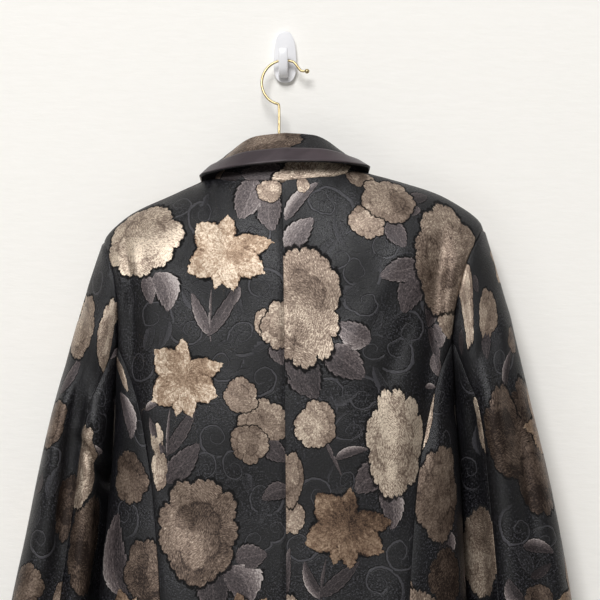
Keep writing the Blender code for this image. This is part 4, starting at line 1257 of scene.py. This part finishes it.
def make_lily_group():
    """A woven lily: pointed petals laid one over another in a circle of its own."""
    tree, n, given, give = node_group("brocade_lily", "Place Fray Cloud", FLOWER_OUTPUTS)
    x, y = frayed_place(n, given, 0.15)
    mask, around, shade = 0.0, 0.0, 0.0
    for petal in LILY_PETALS:
        cosine, sine = math.cos(math.radians(petal.turn)), math.sin(math.radians(petal.turn))
        run = n.math("DIVIDE", n.total(0.0, (x, cosine), (y, sine)), petal.long, clamp=True)
        square = run * run
        off = n.math("ABSOLUTE", n.total(0.0, (y, cosine), (x, -sine), (square, petal.bend)))
        taper = n.math("POWER", 1.0 - square * run, 1.2)
        width = n.math("SQRT", run) * taper * (petal.wide * 1.67)
        share = off / n.math("MAXIMUM", width, 0.0004)
        own = n.fall(share, 0.92, 1.0)
        line = n.step(share, 0.8, 0.97) * n.step(run, 0.2, 0.45)
        shade = n.blend(own, shade, n.total(petal.shade, (line, 0.7), (run, -0.4)))
        mask = n.math("MAXIMUM", mask, own)
        around = n.math("MAXIMUM", around, n.fall(share, 1.08, 1.22))
    give_outline(n, give, mask, around)
    give("Shade", n.total(0.0, (shade, 1.0), (n.step(given["Cloud"], 0.42, 0.66), 0.45)))
    reach = n.reach(x, y)
    give("Streak", ray_streaks(n, x, y, reach, reach * 2.2, 4.2, 0.7))
    return tree


def make_leaf_group():
    """A woven leaf: pointed at both ends, with a rib and side veins, in a square of its own."""
    tree, n, given, give = node_group("brocade_leaf", "Place Fray Seed", "Mask Outline Streak Vein")
    seed = given["Seed"]
    x, y = frayed_place(n, given, 0.11)
    y = y + (x * x - 0.4) * ((seed - 0.4) * 1.1)
    swell = n.math("SUBTRACT", 1.0, x * x, clamp=True)
    wide = n.math("POWER", swell, 0.66) * (1.04 - x * 0.3) - n.math("FRACT", x * -3.2) * 0.12
    across = n.math("ABSOLUTE", y)
    share = across / n.math("MAXIMUM", wide, 0.02)
    ends = n.step(swell, 0.0, 0.03)
    give_outline(n, give, n.fall(share, 0.95, 1.0) * ends, n.fall(share, 1.08, 1.22) * ends)
    vein = n.math("FRACT", (x - across * 0.6) * 3.0)
    vein = n.step(n.math("ABSOLUTE", vein - 0.5), 0.43, 0.5)
    give("Vein", n.math("MAXIMUM", n.fall(across, 0.03, 0.09), vein * 0.4))
    streak = n.noise(n.join(x * 4.5, y * 9.0 + seed * 40.0), 1.5, 2.0, 0.65, True)
    lit = n.step(y, -0.4, 0.9) * (seed - 0.25)
    give("Streak", streak + (lit + n.step(share, 0.72, 0.97) * 0.26))
    return tree


def make_curl_group():
    """A woven curl of the dark ground: a spiral stem with darker lines beside it."""
    tree, n, given, give = node_group("brocade_curl", "Place Fray Seed Cloud", "Line Outline")
    x, y = frayed_place(n, given, 0.1)
    drift = (given["Cloud"] - 0.5) * 0.4
    x, y = x + drift, (y - drift) * (0.8 + given["Seed"] * 0.6)
    reach = n.reach(x, y)
    turn = n.math("ARCTAN2", y, x) / FULL_TURN
    grown = n.math("LOGARITHM", n.math("MAXIMUM", reach, 0.02), math.e) / math.log(3.2)
    off = n.math("ABSOLUTE", n.math("FRACT", turn - grown + 10.0) - 0.5)
    within = n.step(reach, 0.2, 0.32) * n.fall(reach, 1.1, 1.5)
    core = n.fall(off, 0.045, 0.075)
    give("Line", core * within)
    give("Outline", n.math("SUBTRACT", n.fall(off, 0.09, 0.135), core, clamp=True) * within)
    return tree


def make_weave_group():
    """The threads of a cloth, its fine grain and its larger clouds."""
    tree, n, given, give = node_group("thread_weave", "Place Pitch", "Height Grain Cloud")
    u, v, _ = n.split(n.vector("SCALE", given["Place"], FULL_TURN / given["Pitch"]))
    give("Height", n.math("SINE", u + v) * n.math("SINE", v * 0.5 - u))
    give("Grain", n.noise(given["Place"], 470.0, 2.0, 0.8, True))
    give("Cloud", n.noise(given["Place"], 34.0, 2.0, 0.6, True))
    return tree


def srgb(r, g, b):
    def linear(value):
        value /= 255
        return value / 12.92 if value <= 0.04045 else ((value + 0.055) / 1.055) ** 2.4

    return (linear(r), linear(g), linear(b), 1.0)


def new_material(name, roughness, specular, sheen=0.0):
    made = bpy.data.materials.new(name)
    made.use_nodes = True
    shader = made.node_tree.nodes["Principled BSDF"]
    shader.inputs["Roughness"].default_value = roughness
    shader.inputs["Specular IOR Level"].default_value = specular
    shader.inputs["Sheen Weight"].default_value = sheen
    return made, Nodes(made.node_tree), shader


def raise_bump(n, shader, height, strength, distance):
    bump = n.value("ShaderNodeBump", {"Height": height, "Strength": strength, "Distance": distance})
    n.link(bump, shader.inputs["Normal"])


# Colours of the brocade; the tones run from the darkest thread of a motif to its lightest
GROUND_DARK, GROUND_LIGHT, GROUND_SPECK = srgb(9, 9, 11), srgb(14, 14, 17), srgb(64, 63, 69)
CURL_LIGHT, LINE_DARK = srgb(80, 79, 84), srgb(8, 7, 8)
BLOOM_TONES = [
    (0.0, srgb(44, 35, 31)), (0.35, srgb(98, 83, 73)), (0.68, srgb(148, 131, 117)), (1.0, srgb(222, 206, 186)),
]
LILY_TONES = [
    (0.0, srgb(46, 34, 27)), (0.35, srgb(104, 83, 67)), (0.68, srgb(154, 132, 111)), (1.0, srgb(222, 205, 185)),
]
LEAF_TONES = [
    (0.0, srgb(36, 31, 33)), (0.4, srgb(80, 72, 73)), (0.75, srgb(126, 116, 115)), (1.0, srgb(176, 167, 164)),
]
# Thread pitch of each cloth, in metres
BROCADE_PITCH, SATIN_PITCH, LINING_PITCH = 0.0013, 0.0009, 0.001
# How far each motif stands up from the ground, and how much of it is metal thread
FLOWER_HEIGHT, LEAF_HEIGHT = 0.7, 0.46
FLOWER_THREAD, LEAF_THREAD, CURL_THREAD = 0.8, 0.3, 0.16


def make_brocade(groups):
    """Dark ground with curls, then leaves, then flowers; each layer covers the one before."""
    made, n, shader = new_material("floral_brocade", 0.6, 0.36)

    def layer(name):
        """Place in the nearest motif of a layer, and that motif's four values."""
        kind = n.add("ShaderNodeAttribute", attribute_name=name + "_kind").outputs
        parts = n.add("ShaderNodeSeparateColor", {0: Value(n, kind["Color"])}).outputs
        return [n.flat_map(name), *(Value(n, part) for part in parts), Value(n, kind["Alpha"])]

    def tones(level, stops):
        ramp = n.add("ShaderNodeValToRGB", {0: level})
        while len(ramp.color_ramp.elements) < len(stops):
            ramp.color_ramp.elements.new(0.5)
        for element, (at, value) in zip(ramp.color_ramp.elements, stops):
            element.position, element.color = at, value
        return Value(n, ramp.outputs[0])

    flat = n.flat_map()
    weave = n.group(groups["weave"], Place=flat, Pitch=BROCADE_PITCH)
    cloud, grain_off = weave["Cloud"], weave["Grain"] - 0.5
    fray = n.vector("SUBTRACT", n.noise(flat, 170.0, 2.0, 0.7, True, 1), (0.5, 0.5, 0.5))
    # Glossier patches of the ground: lower roughness there, and the ground's specks painted lighter in them, a painted
    # sheen.
    gloss_and_painted_sheen = n.step(n.noise(flat, 15.0, 1.0, 0.5, True), 0.36, 0.66)
    ground = n.colour(n.step(cloud, 0.3, 0.7), GROUND_DARK, GROUND_LIGHT)
    # Lighter specks of the ground's grain, painted stronger inside the glossy patches as painted sheen.
    ground = n.colour(n.step(weave["Grain"], 0.52, 0.7) * n.blend(gloss_and_painted_sheen, 0.3, 1.0), ground, GROUND_SPECK)

    place, is_curl, _, _, seed = layer("curl")
    curl = n.group(groups["curl"], Place=place, Fray=fray, Seed=seed, Cloud=cloud)
    ghost = n.group(groups["leaf"], Place=place, Fray=fray, Seed=seed)
    no_curl = 1.0 - is_curl
    light = n.blend(no_curl, curl["Line"], ghost["Mask"] * n.step(ghost["Streak"], 0.35, 0.95))
    dark = n.blend(no_curl, curl["Outline"], ghost["Outline"] + ghost["Vein"] * ghost["Mask"] * 0.6)
    colour = n.colour(light * 0.55, ground, CURL_LIGHT)
    colour = n.colour(dark * 0.85, colour, LINE_DARK)
    height = n.total(0.0, (light, 0.35), (dark, -0.45))
    thread = light * CURL_THREAD

    def add_flower(flower, shown, tone, stops, colour, height, thread, groove):
        mask, edge = flower["Mask"] * shown, flower["Outline"] * shown
        level = n.total(0.0, (tone, 0.8), (flower["Streak"] - 0.5, 1.0), (grain_off, 0.65), (flower["Shade"], -0.45))
        colour = n.colour(mask, colour, tones(level, stops))
        colour = n.colour(edge * 0.9, colour, LINE_DARK)
        height = n.total(n.blend(mask, height, FLOWER_HEIGHT), (edge, -0.6))
        groove = n.math("MAXIMUM", groove * (1.0 - mask), edge)
        return colour, height, n.blend(mask, thread, FLOWER_THREAD), groove

    def flower_layer(name):
        place, kind, petals, tone, seed = layer(name)
        bloom = n.group(groups["bloom"], Place=place, Flat=flat, Fray=fray, Kind=kind, Petals=petals, Seed=seed,
                        Cloud=cloud)
        return place, kind, tone, seed, bloom, n.math("GREATER_THAN", petals, 0.5)

    place, _, tone, seed, bloom, is_bloom = flower_layer("under")
    leaf = n.group(groups["leaf"], Place=place, Fray=fray, Seed=seed)
    not_bloom = 1.0 - is_bloom
    leaf_mask, groove = leaf["Mask"] * not_bloom, leaf["Outline"] * not_bloom
    level = n.total(0.0, (tone, 0.8), (leaf["Streak"] - 0.55, 0.95), (grain_off, 0.75), (leaf["Vein"], 0.14))
    colour = n.colour(leaf_mask, colour, tones(level, LEAF_TONES))
    colour = n.colour(groove * 0.9, colour, LINE_DARK)
    height, thread = n.blend(leaf_mask, height, LEAF_HEIGHT), n.blend(leaf_mask, thread, LEAF_THREAD)
    woven = add_flower(bloom, is_bloom, tone, BLOOM_TONES, colour, height, thread, groove)

    place, kind, tone, _, bloom, is_bloom = flower_layer("top")
    lily = n.group(groups["lily"], Place=place, Fray=fray, Cloud=cloud)
    is_lily = n.math("GREATER_THAN", kind, 0.75)
    woven = add_flower(bloom, is_bloom * (1.0 - is_lily), tone, BLOOM_TONES, *woven)
    colour, height, thread, groove = add_flower(lily, is_lily, tone, LILY_TONES, *woven)

    n.link(colour, shader.inputs["Base Color"])
    n.link(thread * 0.75, shader.inputs["Metallic"])
    ground_rough = n.total(0.52, (grain_off, 0.6), (gloss_and_painted_sheen, -0.16))
    n.link(n.blend(groove, n.blend(thread, ground_rough, 0.42), 0.95), shader.inputs["Roughness"])
    raise_bump(n, shader, n.total(0.0, (height, 1.0), (weave["Height"], 0.12), (grain_off, 0.9)), 0.6, 0.0006)
    return made


def make_satin(groups):
    made, n, shader = new_material("satin_trim", 0.4, 0.35, 0.1)
    flat = n.flat_map()
    weave = n.group(groups["weave"], Place=flat, Pitch=SATIN_PITCH)
    rib = n.noise(n.vector("MULTIPLY", flat, (60.0, 900.0, 1.0)), 1.0)
    colour = n.colour(n.step(weave["Cloud"], 0.25, 0.75), srgb(58, 49, 53), srgb(76, 66, 70))
    n.link(n.colour(rib * 0.4, colour, srgb(44, 36, 40)), shader.inputs["Base Color"])
    n.link(n.blend(rib, 0.34, 0.5), shader.inputs["Roughness"])
    raise_bump(n, shader, rib + weave["Height"] * 0.2, 0.25, 0.0003)
    return made


def make_lining(groups):
    made, n, shader = new_material("dark_lining", 0.45, 0.3)
    weave = n.group(groups["weave"], Place=n.flat_map(), Pitch=LINING_PITCH)
    n.link(n.colour(weave["Cloud"], srgb(26, 24, 28), srgb(40, 37, 42)), shader.inputs["Base Color"])
    n.link(n.blend(weave["Grain"], 0.36, 0.56), shader.inputs["Roughness"])
    raise_bump(n, shader, weave["Height"], 0.15, 0.0002)
    return made


def make_hard(name, light, dark, roughness, metallic, scale):
    """A smooth hard finish with fine marks: wire, plastic."""
    made, n, shader = new_material(name, roughness, 0.5)
    marks = n.noise(n.value("ShaderNodeTexCoord", output="Object"), scale, 4.0, 0.6)
    n.link(n.colour(n.step(marks, 0.3, 0.75), light, dark), shader.inputs["Base Color"])
    n.link(n.blend(marks, roughness * 0.8, roughness * 1.3), shader.inputs["Roughness"])
    shader.inputs["Metallic"].default_value = metallic
    raise_bump(n, shader, marks, 0.08, 0.0002)
    return made


# ---------------------------------------------------------------- hanger and wall hook
def smooth_route(points, steps):
    """Many points on a smooth line through a few."""
    spots = [Vector(p) for p in points]
    knots = [0.0]
    for a, b in zip(spots, spots[1:]):
        knots.append(knots[-1] + (b - a).length)
    return [spline(spots, knots, knots[-1] * i / steps) for i in range(steps)] + [spots[-1]]


def tube_piece(name, node, points, half, finish):
    path = bpy.data.curves.new(name, "CURVE")
    path.dimensions = "3D"
    path.bevel_depth = half * MM
    path.bevel_resolution = 5
    path.use_fill_caps = True
    line = path.splines.new("POLY")
    line.points.add(len(points) - 1)
    line.use_smooth = True
    for spot, point in zip(line.points, points):
        spot.co = (*(Vector(point) * MM), 1.0)
    path.materials.append(finish)
    declare(bpy.data.objects.new(name, path), node)


def finish_mesh(name, piece, node, finish):
    bmesh.ops.recalc_face_normals(piece, faces=piece.faces[:])
    for face in piece.faces:
        face.smooth = True
    return declare(mesh_object(name, piece, finish), node)


def hanger_pieces():
    def arm(side):
        drop = CLOTH / 2 + BAR_REST + BAR_HALF
        xs = [mix(NECK_HALF, BAR_END[side], i / 6) for i in range(7)]
        shoulder = [(side * x, RIDGE_Y, top_height[side](x) - drop * BAR_SLOPE) for x in xs]
        rise = [(side * x, RIDGE_Y, mix(BAR_MIDDLE_Z, shoulder[0][2], share)) for x, share in BAR_RISES]
        return rise + shoulder

    route = list(reversed(arm(LEFT))) + [(0, RIDGE_Y, BAR_MIDDLE_Z)] + arm(RIGHT)
    tube_piece("hanger_bar_rod", "hanger_bar", smooth_route(route, BAR_STEPS), BAR_HALF, bar_plastic)
    loop = []
    for i in range(LOOP_STEPS + 1):
        angle = math.radians(mix(LOOP_FROM, LOOP_TO, i / LOOP_STEPS))
        loop.append((LOOP_X + LOOP_HALF * math.cos(angle), LOOP_Z + LOOP_HALF * math.sin(angle)))
    start_x, start_z = loop[0]
    bend = [(STEM_X, STEM_TOP_Z), (STEM_X - 0.8, STEM_TOP_Z + 4.5), (mix(STEM_X, start_x, 0.45), start_z - 2.6)]
    bar_top = BAR_MIDDLE_Z + BAR_HALF + SEAM_GAP + 0.8
    stem = [(STEM_X, bar_top), (STEM_X, mix(bar_top, STEM_TOP_Z, 0.5))]
    end_x, end_z = TAIL[-1]
    route = [wire_place(x, z) for x, z in stem + bend + loop + TAIL + [(end_x + SEAM_GAP, end_z)]]
    tube_piece("hanger_hook_wire", "hanger_hook", smooth_route(route, WIRE_STEPS), WIRE_HALF, gold_wire)
    ball = bmesh.new()
    bmesh.ops.create_uvsphere(ball, u_segments=28, v_segments=18, radius=BALL_HALF * MM)
    end = Vector(wire_place(*TAIL[-1])) + Vector((BALL_HALF + SEAM_GAP, 0, 0))
    bmesh.ops.translate(ball, verts=ball.verts[:], vec=end * MM)
    finish_mesh("hook_ball_tip", ball, "hook_ball", gold_wire)


def raise_outline(points, depth, edge):
    """A flat outline raised by a depth, with rounded edges."""
    piece = bmesh.new()
    face = piece.faces.new([piece.verts.new(Vector(p) * MM) for p in points])
    grown = bmesh.ops.extrude_face_region(piece, geom=[face], use_keep_orig=True)["geom"]
    bmesh.ops.translate(piece, verts=[g for g in grown if isinstance(g, bmesh.types.BMVert)], vec=Vector(depth) * MM)
    bmesh.ops.recalc_face_normals(piece, faces=piece.faces[:])
    rims = [e for e in piece.edges if any(len(f.verts) > 4 for f in e.link_faces)]
    bmesh.ops.bevel(piece, geom=rims, offset=edge * MM, segments=4, profile=0.5, affect="EDGES", material=-1)
    return piece


def wall_hook_pieces():
    half_wide, half_tall = PLATE_WIDE / 2, PLATE_TALL / 2
    outline = []
    for i in range(PLATE_TURNS):
        angle = math.radians(360 / PLATE_TURNS * i)
        across = math.copysign(abs(math.cos(angle)) ** PLATE_ROUND, math.cos(angle))
        up = math.copysign(abs(math.sin(angle)) ** PLATE_ROUND, math.sin(angle))
        outline.append((half_wide * across * (1 - PLATE_TAPER * up), -PLATE_OFF_WALL, half_tall * up))
    plate = raise_outline(outline, (0, -PLATE_THICK + PLATE_OFF_WALL, 0), PLATE_EDGE)
    finish_mesh("wall_plate_pad", plate, "wall_plate", hook_plastic)
    ring = [(PRONG_X - PRONG_WIDE / 2, y, z) for y, z in PRONG]
    prong = raise_outline(ring, (PRONG_WIDE, 0, 0), PRONG_EDGE)
    finish_mesh("wall_prong_hook", prong, "wall_prong", hook_plastic)


def button_piece():
    middle = body_point(RIGHT, FRONT, 0, BUTTON_Z)
    middle.y += CLOTH / 2 + LIE_GAP + BUTTON_THICK / 2
    disc = bmesh.new()
    bmesh.ops.create_uvsphere(disc, u_segments=36, v_segments=20, radius=1)
    for vert in disc.verts:
        rim = (1 + BUTTON_RIM * math.exp(-(vert.co.z / 0.3) ** 2)) / (1 + BUTTON_RIM)
        domed = Vector((vert.co.x * BUTTON_HALF * rim, -vert.co.z * BUTTON_THICK / 2, vert.co.y * BUTTON_HALF * rim))
        vert.co = (middle + domed) * MM
    made = finish_mesh("front_button_cover", disc, "front_button", satin)
    made.data.uv_layers.new(name="flat")


# ---------------------------------------------------------------- stage
def stage_piece(name, size, finish, place):
    sheet = bmesh.new()
    bmesh.ops.create_grid(sheet, x_segments=1, y_segments=1, size=size)
    for vert in sheet.verts:
        vert.co = place(vert.co)
    made = mesh_object(name, sheet, finish)
    bpy.context.scene.collection.objects.link(made)
    return made


def make_wall_paint():
    """Brushed pale paint, clear from behind so that the wall hides no view."""
    made, n, shader = new_material("pale_wall", 0.8, 0.2)
    spot = n.value("ShaderNodeTexCoord", output="Object")
    brushed = n.noise(n.vector("MULTIPLY", spot, (40.0, 1.0, 160.0)), 1.0, 4.0, 0.6)
    n.link(n.colour(brushed, WALL_LIGHT, WALL_SHADE), shader.inputs["Base Color"])
    raise_bump(n, shader, brushed, 0.25, 0.0015)
    clear = n.value("ShaderNodeBsdfTransparent")
    behind = n.value("ShaderNodeNewGeometry", output="Backfacing")
    shown = n.value("ShaderNodeMixShader", {0: behind, 1: Value(n, shader.outputs[0]), 2: clear})
    n.link(shown, n.tree.nodes["Material Output"].inputs[0])
    return made


def make_floor_paint():
    made, n, shader = new_material("pale_floor", 0.7, 0.2)
    marks = n.noise(n.value("ShaderNodeTexCoord", output="Object"), 30.0, 3.0)
    n.link(n.colour(marks, FLOOR_LIGHT, FLOOR_SHADE), shader.inputs["Base Color"])
    return made


def area_light(name, place, aim, size, watts):
    lamp = bpy.data.lights.new(name, "AREA")
    lamp.shape = "SQUARE"
    lamp.size = size
    lamp.energy = watts
    made = bpy.data.objects.new(name, lamp)
    made.location = place
    made.rotation_euler = (Vector(aim) - Vector(place)).to_track_quat("-Z", "Y").to_euler()
    bpy.context.scene.collection.objects.link(made)


def make_stage():
    wall = stage_piece("back_wall", STAGE_HALF, make_wall_paint(),
                       lambda co: Vector((co.x, WALL_Y, co.y + FLOOR_Z + STAGE_HALF)))
    wall.visible_shadow = False
    stage_piece("floor", STAGE_HALF, make_floor_paint(), lambda co: Vector((co.x, co.y - STAGE_HALF + WALL_Y, FLOOR_Z)))
    for light in LIGHTS:
        area_light(*light)
    world = bpy.data.worlds.new("studio")
    world.use_nodes = True
    world.node_tree.nodes["Background"].inputs["Color"].default_value = (1.0, 0.99, 0.97, 1.0)
    world.node_tree.nodes["Background"].inputs["Strength"].default_value = WORLD_LIGHT
    bpy.context.scene.world = world
    bpy.context.scene.view_settings.view_transform = "Standard"
    eye = bpy.data.cameras.new("view")
    eye.sensor_width = SENSOR
    eye.lens = SENSOR * VIEW_AWAY / VIEW_WIDE
    camera = bpy.data.objects.new("view", eye)
    camera.location = (VIEW_X * MM, (VIEW_PLANE_Y - VIEW_AWAY) * MM, VIEW_Z * MM)
    camera.rotation_euler = (math.radians(90), 0, 0)
    bpy.context.scene.collection.objects.link(camera)
    bpy.context.scene.camera = camera


# Stage, in metres, and its lights: name, place, aim, size and watts
WALL_Y, FLOOR_Z, STAGE_HALF = 0.004, -1.4, 3.0
WALL_LIGHT, WALL_SHADE = srgb(252, 250, 246), srgb(247, 245, 240)
FLOOR_LIGHT, FLOOR_SHADE = srgb(150, 146, 140), srgb(138, 134, 128)
WORLD_LIGHT = 0.18
LIGHTS = [
    ("key", (-1.0, -5.6, 3.6), (0, 0, -0.35), 2.4, 408),
    ("fill", (-1.2, -2.9, -1.1), (0, 0, -0.5), 1.6, 10),
    ("behind", (0.4, 1.9, 0.4), (0, 0, -0.4), 1.5, 6),
]

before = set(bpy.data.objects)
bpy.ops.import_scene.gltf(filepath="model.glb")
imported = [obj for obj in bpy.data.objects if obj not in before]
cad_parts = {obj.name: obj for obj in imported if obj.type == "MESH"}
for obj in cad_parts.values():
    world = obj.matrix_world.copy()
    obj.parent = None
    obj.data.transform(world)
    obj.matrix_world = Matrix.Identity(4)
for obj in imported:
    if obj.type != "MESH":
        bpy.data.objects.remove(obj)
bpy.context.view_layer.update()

groups = {
    "bloom": make_bloom_group(), "lily": make_lily_group(), "leaf": make_leaf_group(), "curl": make_curl_group(),
    "weave": make_weave_group(),
}
brocade = make_brocade(groups)
satin = make_satin(groups)
lining = make_lining(groups)
gold_wire = make_hard("gold_hook_wire", srgb(196, 180, 140), srgb(170, 152, 112), 0.34, 1.0, 120.0)
bar_plastic = make_hard("dark_bar_plastic", srgb(36, 36, 38), srgb(26, 26, 28), 0.55, 0.0, 120.0)
hook_plastic = make_hard("white_hook_plastic", srgb(240, 240, 243), srgb(232, 232, 236), 0.25, 0.0, 60.0)

for body_side in (LEFT, RIGHT):
    body_panels(body_side)
    side_cloth(body_side)
    turn_step = 360 / ARMHOLE_TURNS
    hind, fore = HIND_SEAM * turn_step, FORE_SEAM * turn_step
    sleeve_cloth("upper_sleeve_", body_side, fore, (ARMHOLE_TURNS + HIND_SEAM) * turn_step, UPPER_COLUMNS, True)
    sleeve_cloth("under_sleeve_", body_side, hind, fore, UNDER_COLUMNS, False)
    lapel_cloth("lapel_", body_side, LAPEL[0].z, LAPEL[-1].z, 0, CLOTH + LAPEL_GAP, "brocade", CLOTH)
    lapel_cloth("lapel_band_", body_side, LAPEL_BAND_FROM[body_side], LAPEL[-1].z - 0.5, LAPEL_BAND,
                1.5 * CLOTH + 2 * LAPEL_GAP + SATIN / 2, "satin", SATIN)
collar_cloth()
button_piece()
hanger_pieces()
wall_hook_pieces()
make_stage()
